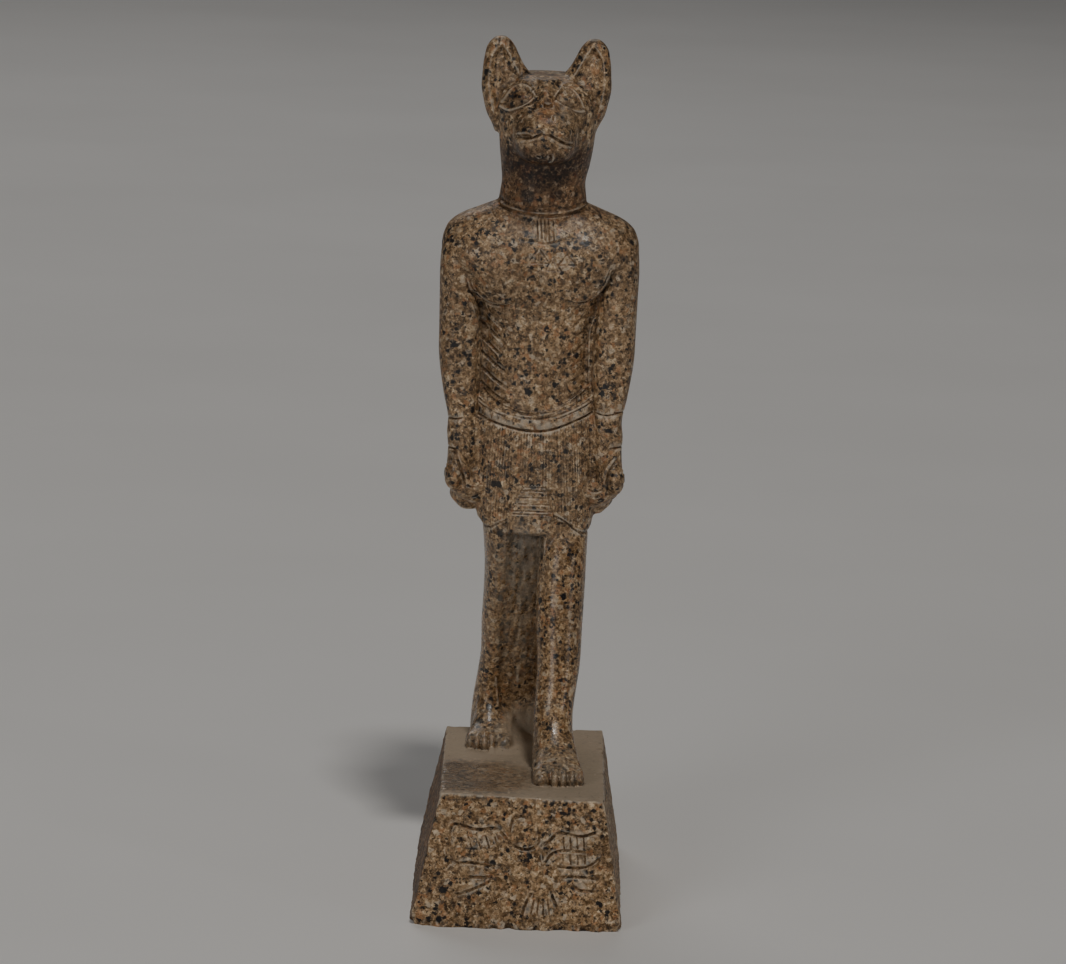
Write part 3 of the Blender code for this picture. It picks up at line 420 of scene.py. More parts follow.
def plinth_corners(sink=0.0):
    """The corners of the plinth's foot and top, in parts from the figure's own axis."""
    left = OUTER_FOOT[0] - SIDE_MARGIN / PART
    right = OUTER_FOOT[1] + SIDE_MARGIN / PART
    front = TOE_FRONT - TOE_MARGIN / PART
    back = PILLAR_BACK + PILLAR_MARGIN / PART
    skew = TOP_SKEW / PART
    top = [(left, front + skew), (right, front - skew), (right, back + skew / 2), (left, back - skew / 2)]
    share = (1 + sink * PART / PLINTH_HEIGHT) / PART
    left -= (PLINTH_FLARE + PLINTH_LEAN) * share
    right += (PLINTH_FLARE - PLINTH_LEAN) * share
    front -= PLINTH_FLARE * share
    back += PLINTH_FLARE * share
    return [(left, front), (right, front), (right, back), (left, back)], top


def add_plinth(forms):
    """The plinth is made too deep below, past the reach of its chips, and is cut flat at the end."""
    low, top = plinth_corners(CUT_DEPTH)
    foot = -PLINTH_HEIGHT / PART - CUT_DEPTH
    skin(forms, [[(x, y, foot) for x, y in low], [(x, y, 0) for x, y in top]])


# The surface, and the tools that carve it. Places are in parts, from the soles up

def read_rows(items, name, width, kind=float):
    """A property of a mesh's points or edges, as rows of numbers."""
    flat = np.empty(len(items) * width, kind)
    items.foreach_get(name, flat)
    return flat.reshape(-1, width)


def distances(flat, path):
    """How far each point is from the path, and how far along the path its nearest place is, 0 to 1."""
    starts = path[:-1]
    runs = path[1:] - starts
    lengths = np.hypot(*runs.T)
    before = np.concatenate([[0], np.cumsum(lengths)])
    best = np.full(len(flat), np.inf)
    along = np.zeros(len(flat))
    for start, run, length, passed in zip(starts, runs, lengths, before):
        share = np.clip((flat - start) @ run / max(length**2, 1e-9), 0, 1)
        gap = np.hypot(*(flat - start - share[:, None] * run).T)
        closer = gap < best
        best = np.where(closer, gap, best)
        along = np.where(closer, passed + share * length, along)
    return best, along / before[-1]


class Surface:
    """The stone's skin as arrays, with the push that the carving gives each point along its normal."""

    def __init__(self, mesh):
        self.mesh = mesh
        self.points = read_rows(mesh.vertices, "co", 3)
        self.normals = read_rows(mesh.vertices, "normal", 3)
        self.push = np.zeros(len(mesh.vertices))

    def settle(self):
        """Moves the points by their push."""
        self.points += self.normals * self.push[:, None]
        self.mesh.vertices.foreach_set("co", self.points.ravel())
        self.mesh.update()

    def near(self, path, reach, way):
        """Which points lie near a path, seen along its way, and face that way."""
        across, up, axis, sign, outermost = way
        flat = self.points[:, [across, up]]
        inside = ((flat > path.min(axis=0) - reach) & (flat < path.max(axis=0) + reach)).all(axis=1)
        inside &= (self.normals[:, axis] * sign > 0.1) & (self.points[:, axis] * sign > outermost)
        found = np.flatnonzero(inside)
        return found, flat[found], self.normals[found, axis] * sign

    def stroke(self, points, width, depth, way=FRONT, ends=0.15):
        """A groove along a curve. A depth below 0 raises a bead."""
        path = smooth_path(points)
        found, flat, facing = self.near(path, width, way)
        gap, along = distances(flat, path)
        profile = hump(gap, width) ** 1.5
        profile *= fade(along, -ends * 0.3, ends) * fade(1 - along, -ends * 0.3, ends)
        self.push[found] -= depth * profile * fade(facing, 0.1, 0.4)

    def pocket(self, points, depth, edge):
        """A hollow inside a closed outline, as deep as it says an edge's width in from its border."""
        path = smooth_path(points, closed=True)
        path = np.vstack([path, path[0]])
        found, flat, facing = self.near(path, edge, FRONT)
        gap, _ = distances(flat, path)
        inside = np.zeros(len(flat), bool)
        for (x1, z1), (x2, z2) in zip(path, path[1:]):
            crosses = (z1 > flat[:, 1]) != (z2 > flat[:, 1])
            rise = z2 - z1 if abs(z2 - z1) > 1e-9 else 1e-9
            inside ^= crosses & (flat[:, 0] < x1 + (x2 - x1) * (flat[:, 1] - z1) / rise)
        share = fade(np.where(inside, gap, -gap), -edge * 0.25, edge)
        self.push[found] -= depth * share * fade(facing, 0.1, 0.35)

    def in_egg(self, place, radii):
        """Which points lie in an egg round a place, and how strongly it moves each of them."""
        gap = (((self.points - np.array(place)) / np.array(radii)) ** 2).sum(axis=1)
        found = gap < 1
        return found, (1 - gap[found]) ** 2

    def swell(self, place, radii, height):
        """A soft rise, or a hollow where the height is below 0, round a place in three dimensions."""
        found, share = self.in_egg(place, radii)
        self.push[found] += height * share

    def chip(self, place, radii, inward):
        """Takes a bite out of an edge. All its points move one way, so that the skin never crosses itself."""
        found, share = self.in_egg(place, radii)
        self.points[found] += share[:, None] * np.array(inward)


# Carving of the head

def carve_left_eye(surface):
    upper = [(-5.1, 318.3), (-7, 321), (-9.6, 322.4), (-13.4, 322.2), (-16.6, 320), (-20.8, 313.6)]
    lower = [(-5.1, 318), (-7.4, 316), (-10.2, 314), (-13.4, 312.6), (-17, 311.4), (-21.4, 312.8)]
    surface.pocket(upper + lower[4:0:-1], 1.4, 1.2)
    surface.swell((-11.8, 4, 317.8), (4.8, 9, 4), 1.3)
    surface.stroke(upper, 0.9, -0.8, ends=0.04)
    surface.stroke(lower, 1.1, -1.4, ends=0.04)
    surface.stroke([(-4.4, 321.4), (-8.2, 323.9), (-13.5, 324.8), (-18.2, 323), (-21.2, 318.6)], 1.0, -0.7)
    surface.stroke([(-5.6, 322), (-7, 320.6)], 0.6, 0.8)


def carve_right_eye(surface):
    upper = [(3.8, 318.2), (5.6, 320.9), (8.6, 322.2), (12.2, 321.4), (15.4, 318), (17.8, 313)]
    lower = [(3.8, 317), (6.9, 314.8), (10.5, 313.2), (15.2, 312.1), (18.2, 312)]
    surface.pocket(upper + lower[3:0:-1], 1.2, 1.3)
    surface.swell((11.2, 4, 317.4), (5, 9, 4.2), 1.5)
    surface.stroke(upper, 0.9, -0.7, ends=0.04)
    surface.stroke(lower, 1.0, -1.4, ends=0.04)
    surface.stroke([(4.6, 321), (8.8, 323.8), (13.4, 323.8), (17.8, 321)], 0.9, -0.5)


def carve_nose(surface):
    """A ridge comes down the forehead to a bump between the eyes, and the nose widens to the lips."""
    surface.stroke([(-0.2, 326), (0, 322), (0.4, 318)], 2.8, -0.8, ends=0.3)
    surface.swell((0.5, 2, 318), (4, 12, 4.4), 1.9)
    surface.stroke([(-1.4, 314.9), (1.2, 314.4), (3.6, 315.2)], 1.0, 1.5)
    surface.stroke([(-4.8, 315), (-6.6, 310), (-7.2, 304.4)], 2.4, 0.9)
    surface.stroke([(6, 314.4), (7.4, 309.6), (8.2, 303.8)], 2.2, 0.7)
    surface.swell((-10.4, -2, 306.6), (4.8, 12, 7.6), -1.5)
    surface.swell((11.2, -2, 306.4), (4.2, 12, 6.4), -0.9)
    surface.stroke([(3.6, 311), (3.8, 309)], 0.7, 0.8)


def carve_mouth(surface):
    """The upper lip overhangs at its left corner, and the lower lip and chin make one wide rounded shape."""
    surface.pocket([(-13.8, 300.6), (-10.2, 302.2), (-6.6, 301.8), (-6, 300.4), (-10, 299.4)], 2.0, 1.1)
    surface.stroke([(-14, 300), (-10, 299.6), (-5.4, 300.6), (-0.6, 302.6)], 0.9, 1.4)
    surface.stroke([(-14, 298), (-9.8, 298.2), (-5.4, 299.4)], 0.9, -0.7)
    surface.stroke([(1.6, 302.4), (5.2, 300.4), (9.4, 298.4), (13.4, 297)], 1.0, 1.6)
    surface.swell((8.4, -6, 302.4), (5, 10, 3.4), 1.0)
    surface.swell((-7.6, -6, 303.6), (4, 10, 2.4), 0.6)
    surface.swell((-2, -8, 295.4), (9.6, 10, 5), 0.8)
    surface.stroke([(3.8, 293.8), (4.6, 291.6), (3.8, 289.8), (1.8, 289.2)], 0.8, -0.5)
    surface.stroke([(2.8, 293), (3.3, 291.5), (2.5, 290.3)], 0.8, 1.0)
    surface.stroke([(-3.6, 292), (-1.4, 291.6)], 0.7, 0.9)


def carve_cheeks(surface):
    for side in (-1, 1):
        surface.stroke([(side * 19.6, 312), (side * 20.4, 303), (side * 19.8, 294)], 1.0, 0.5)
        surface.stroke([(side * 15.6, 292), (side * 16.4, 284), (side * 17.6, 276)], 1.4, 0.35)


def carve_ears(surface):
    for side in (-1, 1):
        rim = (
            (21.8, 340.4), (18.8, 337), (15.4, 331), (12.4, 325.8), (14.4, 323.4), (20, 319.6),
            (22.4, 313), (23.6, 307.6), (25.6, 314), (27, 321), (27, 328), (25.8, 335),
        )
        surface.pocket([(side * x, z) for x, z in rim], 3.3, 1.7)
        surface.stroke([(side * 19.2, 337), (side * 15.8, 331), (side * 13, 325.8)], 0.8, 0.6)
        surface.stroke([(side * 22, 336), (side * 21.4, 328), (side * 22.6, 320)], 1.8, -0.6)
    surface.stroke([(-9, 327.2), (0, 326.8), (9, 327.4)], 1.1, 0.5)


# Carving of the trunk

def carve_collar(surface):
    shares = np.linspace(-1, 1, 9)
    for drop, width, depth in ((-1.5, 1.0, 0.35), (0, 1.0, -0.7), (1.8, 0.8, 0.6)):
        rise = COLLAR_FRONT - drop + COLLAR_RISE * shares**2
        surface.stroke(np.column_stack([0.5 + COLLAR_HALF * shares, rise]), width, depth, ends=0.04)
    for x in (-2.2, -0.4, 1.4, 3.2, 5.4):
        surface.stroke([(x, 260), (x + 0.5, 255), (x + 0.9, 249.8)], 0.55, 0.55)
    surface.stroke([(-10, 250.2), (-4, 250), (2, 249), (9, 250.6), (16, 253)], 0.7, 0.6)
    surface.stroke([(-24.6, 264), (-22, 260), (-18.4, 257.4)], 0.7, 0.4)


def carve_pendants(surface):
    """Three small triangles hang under the collar's arc."""
    for x, z, wide, tall in ((-0.4, 239.8, 5, 7), (6.4, 236.6, 3.8, 6.6), (13, 239.4, 4.4, 5)):
        surface.stroke([(x - wide, z), (x - 0.4, z + tall)], 0.65, 0.4, ends=0.08)
        surface.stroke([(x - 0.4, z + tall), (x + wide, z)], 0.65, 0.4, ends=0.08)
        surface.stroke([(x - wide, z), (x + wide, z + 0.2)], 0.65, 0.35, ends=0.08)
        surface.stroke([(x - 0.2, z + 0.4), (x - 0.3, z + tall * 0.6)], 0.5, 0.25)


def carve_chest(surface):
    for side, lift in ((-1, 0), (1, 2.6)):
        border = [
            (side * 34.5, 231 + lift * 3), (side * 32, 225 + lift * 2), (side * 27.5, 221.4 + lift),
            (side * 22, 218.8 + lift), (side * 16, 218.6 + lift), (side * 9, 221.4 + lift * 0.5),
        ]
        path = smooth_path(border)
        found, flat, facing = surface.near(path, 9, FRONT)
        gap, along = distances(flat, path)
        border_height = np.interp(flat[:, 0] * side, path[::-1, 0] * side, path[::-1, 1])
        above = np.where(flat[:, 1] > border_height, 1.0, -1.0)
        lip = fade(-gap, -7, 0) * above * fade(1 - along, 0.02, 0.45) * fade(along, 0, 0.2)
        surface.push[found] += 1.2 * lip * fade(facing, 0.1, 0.4)
        surface.stroke(border, 1.4, 1.0, ends=0.3)
    surface.swell((-18, 4, 231), (13, 14, 11), 1.0)
    surface.swell((18, 4, 233), (13, 14, 11), 1.0)
    surface.swell((0, 4, 236), (5, 14, 14), -0.5)


def carve_pec_edges(surface):
    """A fine dark line runs under each breast, and a thin bright lip under the line."""
    surface.stroke([(-33, 230), (-31, 225), (-27, 221.2), (-21.8, 218.6), (-17.6, 218.4)], 0.7, 0.8)
    surface.stroke([(-31.4, 223.4), (-27.2, 219.8), (-22, 217.2), (-17.8, 217.2)], 0.6, -0.4)
    surface.stroke([(34, 239), (31, 231), (27, 225), (23, 221.4), (18, 220.8)], 0.7, 0.6)


def carve_ribs(surface):
    for k in range(6):
        z = 216.5 - 7.1 * k
        inner = 16 - 0.9 * k
        surface.stroke([(-28, z + 1), (-22, z - 4.5), (-inner, z - 10)], 1.0, 0.85)
        surface.stroke([(-27, z - 0.4), (-21.6, z - 6), (-inner - 0.4, z - 11.4)], 0.7, -0.25)
        surface.stroke([(27, z + 2), (22, z - 3), (inner + 1, z - 7.5)], 1.0, 0.45)
    surface.stroke([(0.4, 216), (0.2, 200), (0.4, 180)], 2.4, 0.35)


def carve_arm_edges(surface):
    """The sharp inner edge of each arm, and the edge that goes on down beside the kilt."""
    left = [(-32, 219), (-30.4, 214), (-28.6, 207.5), (-27, 198), (-26.6, 184), (-26.8, 174)]
    surface.stroke(left, 0.9, -0.9, ends=0.06)
    surface.stroke([(-26.8, 174), (-28, 165), (-28.2, 152), (-27.4, 140)], 0.6, -0.35, ends=0.06)
    right = [(27, 213), (25, 206), (25.2, 190), (25.8, 180), (27.4, 170)]
    surface.stroke(right, 0.9, -0.9, ends=0.06)
    surface.stroke([(27.4, 170), (28.8, 160), (28.6, 148), (28.2, 134)], 0.6, -0.45, ends=0.06)


def carve_bracelets(surface):
    surface.stroke([(28.6, 168.2), (34, 167.4), (43.4, 169)], 0.6, 0.8, ends=0.05)
    surface.stroke([(36, 151.6), (42.6, 152.2)], 0.6, 0.8)
    surface.stroke([(-43.4, 163.4), (-38, 163), (-33, 164)], 0.6, 0.8)
    surface.stroke([(-42, 149.2), (-37, 148.6)], 0.6, 0.7)
    for way, z_high, z_low in ((LEFT, 168.8, 152), (RIGHT, 163.2, 149)):
        surface.stroke([(8, z_high), (18, z_high - 0.4), (29, z_high)], 0.7, 0.7, way, ends=0.02)
        surface.stroke([(8, z_low), (18, z_low - 0.2), (27, z_low)], 0.7, 0.6, way, ends=0.02)


def carve_fists(surface):
    """The grooves round the thumb and between the fingers, and the ridge from the wrist to the thumb."""
    surface.stroke([(-35.8, 145.4), (-34.2, 140.7), (-32.1, 135), (-31.7, 130.2)], 0.9, 1.3)
    surface.stroke([(-38.4, 148), (-36.4, 143.6), (-34.6, 140)], 1.0, -0.7)
    surface.stroke([(40.9, 147.4), (37.3, 142.9), (36, 139), (34.8, 132.7)], 0.9, 1.2)
    surface.stroke([(39.6, 148.4), (35.4, 143), (33.8, 138)], 1.0, -0.5)
    for side in (-1, 1):
        for z in (132.4, 127.8):
            crease = [(32.6, z), (28.4, z - 1.4), (24.6, z)]
            surface.stroke([(FIST_LEAN + side * x, z) for x, z in crease], 0.7, 0.6)
    for way in (LEFT, RIGHT):
        for z in (140, 134.6, 129.4):
            surface.stroke([(7, z + 0.6), (14, z), (22, z + 1)], 0.8, 0.6, way)


# Carving of the kilt

def headings(surface):
    """The turn of each point round the kilt: its angle from the front, and 0 in front to 2 behind."""
    x = (surface.points[:, 0] - 0.9) / 28.6
    y = -(surface.points[:, 1] - KILT_MIDDLE) / 23
    angle = np.arctan2(x, y)
    return angle, 1 - np.cos(angle)


def between_the_arms(surface):
    """0 where the arms and fists hide the kilt, 1 elsewhere."""
    x, y, _ = surface.points.T
    return 1 - fade(np.abs(x - 0.4), 26.8, 27.6) * fade(-y, -40, -36)


def on_the_wall(surface):
    """1 on the kilt's upright faces and 0 on the pillar behind."""
    level = fade(1 - np.abs(surface.normals[:, 2]), 0.1, 0.5) * between_the_arms(surface)
    return level * (1 - fade(surface.points[:, 1], PILLAR_FRONT + 4, PILLAR_FRONT + 6))


def carve_belt(surface):
    """A bead on top, a band with a thin line near its top, and a deep line under it."""
    _, turned = headings(surface)
    x = surface.points[:, 0]
    z = surface.points[:, 2] - belt_rise(x, turned)
    foot = BELT_FOOT - 2.4 * np.minimum(turned, 1)
    level = on_the_wall(surface) * fade(surface.points[:, 2], 140, 150)
    band = fade(z, foot - 0.4, foot + 0.4) * (1 - fade(z, BELT_TOP - 0.4, BELT_TOP + 0.8))
    bead = hump(z - BELT_TOP + 0.8, 1.1)
    line = hump(z - BELT_TOP + 2.7, 0.6)
    shadow = hump(z - foot + 0.5, 0.8)
    frames = hump(z - BELT_TOP + 4.4, 0.45) * fade(np.abs(x + 2), 12, 14)
    surface.push += level * (0.7 * band + 0.7 * bead - 0.7 * line - 1.0 * shadow - 0.45 * frames)


def carve_belt_frame(surface):
    """The upright ends of the belt's small nested frame."""
    surface.stroke([(21.6, 178.4), (21.9, 173.6)], 0.55, 0.6, ends=0.05)
    surface.stroke([(19.6, 175.6), (19.8, 171.8)], 0.5, 0.45, ends=0.05)
    surface.stroke([(-22.6, 174.6), (-22.2, 170.4)], 0.5, 0.5, ends=0.05)


def carve_pleats(surface):
    angle, turned = headings(surface)
    x, y, z = surface.points.T
    foot = BELT_FOOT - 2.4 * np.minimum(turned, 1) + belt_rise(x, turned)
    hem = hem_height(x, turned)
    cloth = fade(z, hem + 0.2, hem + 1.2) * (1 - fade(z, foot - 4, foot - 0.8))
    cloth *= fade(1 - np.abs(surface.normals[:, 2]), 0.3, 0.7) * between_the_arms(surface)
    apron_half = 5.2 + 5.6 * fade(-z, -131, -120)
    apron = (1 - fade(np.abs(x), apron_half, apron_half + 0.8)) * (z < 133.6) * (y < KILT_MIDDLE)
    pillar = fade(y, PILLAR_FRONT - 2, PILLAR_FRONT)
    pillar *= 1 - fade(np.abs(x), PILLAR_HALF - 1, PILLAR_HALF + 0.4)
    wobble = 0.3 * ripple(surface.points * (1, 1, 0.15), 4.0, 5)
    wave = np.abs(np.sin(angle * PLEATS / 2 + wobble))
    uneven = 0.8 + 0.35 * ripple(surface.points * (1, 1, 0.2), 2.6, 9)
    surface.push -= 0.5 * uneven * (1 - wave) ** 1.3 * cloth * (1 - apron) * (1 - pillar)
    trench = hump(z - hem + 0.9, 0.8) * (y < KILT_MIDDLE) * (np.abs(x) > 11)
    surface.push -= 0.6 * trench * between_the_arms(surface)


def carve_apron(surface):
    left = [(-3.6, 133.2), (-6.4, 129.4), (-10.4, 123.4), (-11.6, 118.8), (-11, 111.6)]
    right = [(7, 133.2), (9.2, 124.4), (11, 119), (10.8, 112)]
    surface.stroke(left, 0.6, 0.4, ends=0.05)
    surface.stroke(right, 0.6, 0.4, ends=0.05)
    for z, half in ((133.2, 5.2), (131.3, 6.2), (128.1, 7.6), (125.1, 9), (121.8, 10), (120.3, 10.4)):
        middle = 1.6 - 2 * (133.2 - z) / 13
        surface.stroke([(middle - half, z), (middle + half, z)], 0.55, 0.4, ends=0.04)


# Carving of the legs, the feet and the stone between the legs

def carve_legs(surface):
    surface.swell((16, -4, 74), (9, 12, 8), 0.5)
    surface.swell((-14.4, 20, 74), (7, 12, 8), 0.5)
    surface.swell((15.6, 12, 52), (12, 14, 16), 0.4)
    surface.stroke([(-14, 33), (-13.2, 25), (-12.2, 17)], 0.9, -0.4)


def chisel_web(surface):
    """The stone between the legs keeps the upright marks of the chisel."""
    x, y, z = surface.points.T
    web = fade(x, -9.5, -7) * (1 - fade(x, 3, 5)) * fade(z, 4, 12) * (1 - fade(z, 102, 109))
    web *= fade(-surface.normals[:, 1], 0.05, 0.3)
    marks = ripple(surface.points * (1, 0.4, 0.16), 1.7, 3)
    marks += 0.6 * ripple(surface.points * (1, 1, 0.4), 3.2, 4)
    surface.push += 0.4 * web * marks


def carve_toes(surface):
    """Short grooves run up each foot from between the toes."""
    for x, toe_tip, side, half in FEET:
        for share, back, long in ((0.36, 0, 8), (0.53, 0.4, 7.4), (0.69, 1.2, 6.6), (0.85, 2.6, 5.4)):
            across = x + (2 * share - 1) * half * side
            lean = (share - 0.36) * 2.4 * side
            line = [(across - lean * run, toe_tip + back + long * run) for run in (0, 0.5, 1)]
            surface.stroke(line, 0.9, 0.45, UP)
            surface.stroke([(across, 0.5), (across, 4.6)], 0.8, 0.4, ends=0.05)


# Carving of the plinth

def carve_bird(surface):
    """A bird with spread wings in low relief on the front, with a round head and a fan tail."""
    head = [(-4.5, -16), (-2.5, -9.8), (2.6, -8.4), (7.8, -11.9), (9.9, -17.1), (8.2, -21.7), (2.4, -23.4)]
    head += [(-2.8, -21.4)]
    body = [(1.6, -23), (5.4, -30), (5.6, -40), (2.6, -54), (10, -55.4), (19, -51), (14, -40.6), (13.4, -33)]
    body += [(10, -22)]
    wing_left = [(-32.6, -19), (-30.9, -14.6), (-26, -14.4), (-16.9, -16.2), (-10.3, -15.6)]
    wing_left += [(-4, -21.6), (2, -29), (-8, -32), (-17.8, -30.6), (-30, -31)]
    wing_right = [(10, -22.6), (14, -19.6), (18.2, -15.8), (29.2, -16.8), (37.2, -15)]
    wing_right += [(39.4, -25), (32, -30.4), (17.3, -30.6), (11, -30)]
    for outline in (head, body, wing_left, wing_right):
        surface.pocket(outline, -0.8, 1.4)
    lines = (
        [(-32.2, -18.7), (-30.9, -14.2), (-27.2, -13.9), (-19.8, -15.6), (-10.3, -15), (-3.5, -21)],
        [(-30.3, -31.5), (-23, -30.6), (-17.8, -31), (-10.5, -32.3)],
        [(-22.8, -36.9), (-17.6, -37.1), (-12.5, -36.5)],
        [(-29.8, -45.9), (-24.7, -44.2), (-17.5, -41.2), (-11.5, -38)],
        [(9.7, -22), (14, -19.2), (18.2, -15.3), (23.3, -15.5), (29.2, -16.4), (37.2, -13.7)],
        [(11.8, -30.6), (13.5, -27.6), (16.4, -24.4), (21.4, -23.1), (31.7, -23.5)],
        [(17.3, -30.4), (24.7, -30.9), (32, -30.2), (36.3, -27.4), (39.1, -25.8)],
        [(19, -35.7), (24.8, -35.1), (32.9, -35.3), (36.6, -35.7)],
        [(25, -38.5), (28.7, -41), (33.1, -41.3), (36.8, -41.8)],
        [(-4.5, -15.8), (-2.5, -9.7), (2.6, -8.4)],
        [(9.9, -17.1), (8.2, -21.7), (2.4, -23.4), (-2.8, -21.4)],
        [(14.7, -40), (16.8, -44.8), (19.5, -50.4)],
        [(6.8, -42.9), (4.1, -49.1), (2.8, -54.5)],
    )
    for line in lines:
        surface.stroke(line, 0.95, 0.95)
    for k in range(4):
        surface.stroke([(-24 + 4.2 * k, -17.4), (-21.4 + 4.2 * k, -24.4)], 0.6, 0.55)
        surface.stroke([(20.8 + 3.1 * k, -16.6), (21.4 + 3.1 * k, -22.6)], 0.6, 0.55)
        surface.stroke([(20.8 + 3.4 * k, -24.6), (21.2 + 3.4 * k, -29.6)], 0.6, 0.45)
        surface.stroke([(8.4 + 2 * k, -45.6), (6.8 + 3 * k, -53.6)], 0.6, 0.6)


def roughen_plinth(surface):
    """The plinth's faces wander a little, its foot is chipped and its corners are rounded."""
    x, y, z = surface.points.T
    plinth = 1 - fade(z, -3, -0.5)
    wander = np.sin(x / 9 + 1.3) * np.sin(z / 11 + y / 17)
    wander += 0.6 * np.sin(y / 7 + z / 6 + 0.7) * np.sin(x / 5)
    surface.push += 0.3 * plinth * wander
    sides = plinth * fade(np.abs(surface.normals[:, 0]) + fade(surface.normals[:, 1], 0.3, 0.7), 0.3, 0.7)
    surface.push += sides * (0.35 * ripple(surface.points, 3.4, 21) + 0.18 * ripple(surface.points, 1.5, 22))
    low, _ = plinth_corners()
    (left, front), (right, back) = low[0], low[2]
    chips = ((0.0, 10, 4), (0.1, 4, 1.6), (0.25, 5, 0.9), (0.4, 3, 1.2), (0.47, 4, 1.8), (0.6, 3, 0.8))
    chips += ((0.73, 8, 2.8), (0.84, 5, 2.4), (0.93, 5, 2.6), (1.0, 8, 4))
    middle = np.array([left + right, front + back]) / 2
    for share, size, depth in chips:
        across = left + (right - left) * share
        for side, bite in ((front, depth), (back, depth * 0.7)):
            inward = middle - (across, side)
            inward *= bite / np.hypot(*inward)
            place = (across, side, -PLINTH_HEIGHT / PART)
            surface.chip(place, (size, size + 4, min(size, 6)), (*inward, 0))


def chip_arrises(surface):
    """The plinth's edges are worn and nibbled, most of all round its foot."""
    x, y, z = surface.points.T
    low, _ = plinth_corners()
    (left, front), (right, back) = low[0], low[2]
    tall = PLINTH_HEIGHT / PART
    rise = 1 + z / tall
    flare = rise * PLINTH_FLARE / PART
    lean = rise * PLINTH_LEAN / PART
    gaps = (x - left - flare - lean, right - flare + lean - x, y - front - flare, back - flare - y, -z)
    second = np.sort(np.abs(np.column_stack(gaps)), axis=1)[:, 1]
    near_edge = (1 - fade(second, 0, 3.4)) * (1 - fade(z, 0.5, 1.5))
    nibbles = np.clip(ripple(surface.points, 4.2, 31) + 0.5 * ripple(surface.points, 1.8, 32) - 0.1, 0, 1)
    surface.push -= 1.1 * near_edge * nibbles
    bites = np.clip(ripple(surface.points * (1, 1, 0.6), 3.4, 33) - 0.05, 0, 1)
    surface.push -= 1.4 * fade(-z, tall - 5, tall - 1) * bites


# Making the piece

def rough_form():
    """All the forms as overlapping shells in one mesh, in parts from the soles."""
    forms = bmesh.new()
    for add_form in (
        add_plinth, add_pillar, add_leg_web, add_legs, add_feet, add_kilt, add_apron, add_trunk, add_arm_webs,
        add_arms, add_neck_and_head, add_ears,
    ):
        add_form(forms)
    bmesh.ops.recalc_face_normals(forms, faces=forms.faces)
    mesh = bpy.data.meshes.new("rough_form")
    forms.to_mesh(mesh)
    forms.free()
    return mesh


def add_object(name, data):
    made = bpy.data.objects.new(name, data)
    bpy.context.scene.collection.objects.link(made)
    return made


def evaluated(mesh, add_modifiers):
    """The mesh as it comes out of its modifiers."""
    holder = add_object("holder", mesh)
    add_modifiers(holder)
    graph = bpy.context.evaluated_depsgraph_get()
    made = bpy.data.meshes.new_from_object(holder.evaluated_get(graph))
    bpy.data.objects.remove(holder)
    bpy.data.meshes.remove(mesh)
    return made


def join_forms(holder):
    """Makes one skin of the overlapping shells and softens the creases between them."""
    joined = holder.modifiers.new("joined", "REMESH")
    joined.mode = "VOXEL"
    joined.voxel_size = GRAIN / PART
    softened = holder.modifiers.new("softened", "SMOOTH")
    softened.factor = 0.5
    softened.iterations = SOFTENING_PASSES


def thin_faces(holder):
    """Keeps only as many faces as the carving needs."""
    count = sum(len(face.vertices) - 2 for face in holder.data.polygons)
    fewer = holder.modifiers.new("fewer_faces", "DECIMATE")
    fewer.ratio = min(1, TRIANGLES / count)
    fewer.use_collapse_triangulate = True


def edge_ends(mesh):
    return read_rows(mesh.edges, "vertices", 2, np.int32)


def split_edges(mesh, choose, cuts):
    """Splits the chosen edges, so that the faces between them become finer."""
    ends = edge_ends(mesh)
    surface = Surface(mesh)
    start = surface.points[ends[:, 0]]
    run = surface.points[ends[:, 1]] - start
    chosen = np.flatnonzero(choose(start + run / 2, run, surface.normals[ends[:, 0]]))
    stone = bmesh.new()
    stone.from_mesh(mesh)
    stone.edges.ensure_lookup_table()
    edges = [stone.edges[k] for k in chosen]
    bmesh.ops.subdivide_edges(stone, edges=edges, cuts=cuts, use_grid_fill=True)
    stone.to_mesh(mesh)
    stone.free()


def inside(value, low, high):
    return (value > low) & (value < high)


def pleat_edges(middle, run, _):
    """The level edges of the kilt, which lie across its pleats."""
    x, y, z = middle.T
    kilt = inside(z, 108, 172) & (np.abs(x) < 31) & (y < PILLAR_FRONT + 3)
    return kilt & (np.abs(run[:, 2]) < 0.5 * np.linalg.norm(run, axis=1))


def fine_edges(middle, _, normal):
    """The edges of the finely carved places."""
    x, y, z = middle.T
    wide = np.abs(x)
    face = inside(z, 288, 343) & (y < 30)
    collar = inside(z, 234, 268) & (wide < 26)
    ribs = inside(z, 168, 232) & inside(wide, 10, 34)
    belt = inside(z, 155, 184) & (wide < 44)
    apron = inside(z, 108, 135) & (wide < 13)
    bird = inside(z, -58, -6)
    fists = inside(z, 120, 152) & (wide > 22) & (y < 24)
    toes = inside(z, 0.5, 13) & (((x > 4) & (y < -32)) | (inside(x, -28, -3) & inside(y, 14, 34)))
    return ((face | collar | ribs | belt | apron | bird) & (normal[:, 1] < -0.1)) | fists | toes


def carve(mesh):
    """Carves the skin in three rounds, each on the skin that the one before it left."""
    for carvings in (
        (carve_chest, roughen_plinth, chip_arrises, chisel_web),
        (
            carve_left_eye, carve_right_eye, carve_nose, carve_cheeks, carve_ears, carve_collar,
            carve_pendants, carve_ribs, carve_pec_edges, carve_arm_edges, carve_bracelets, carve_fists,
            carve_belt, carve_pleats, carve_legs, carve_toes, carve_bird,
        ),
        (carve_mouth, carve_belt_frame, carve_apron),
    ):
        surface = Surface(mesh)
        for carving in carvings:
            carving(surface)
        surface.settle()


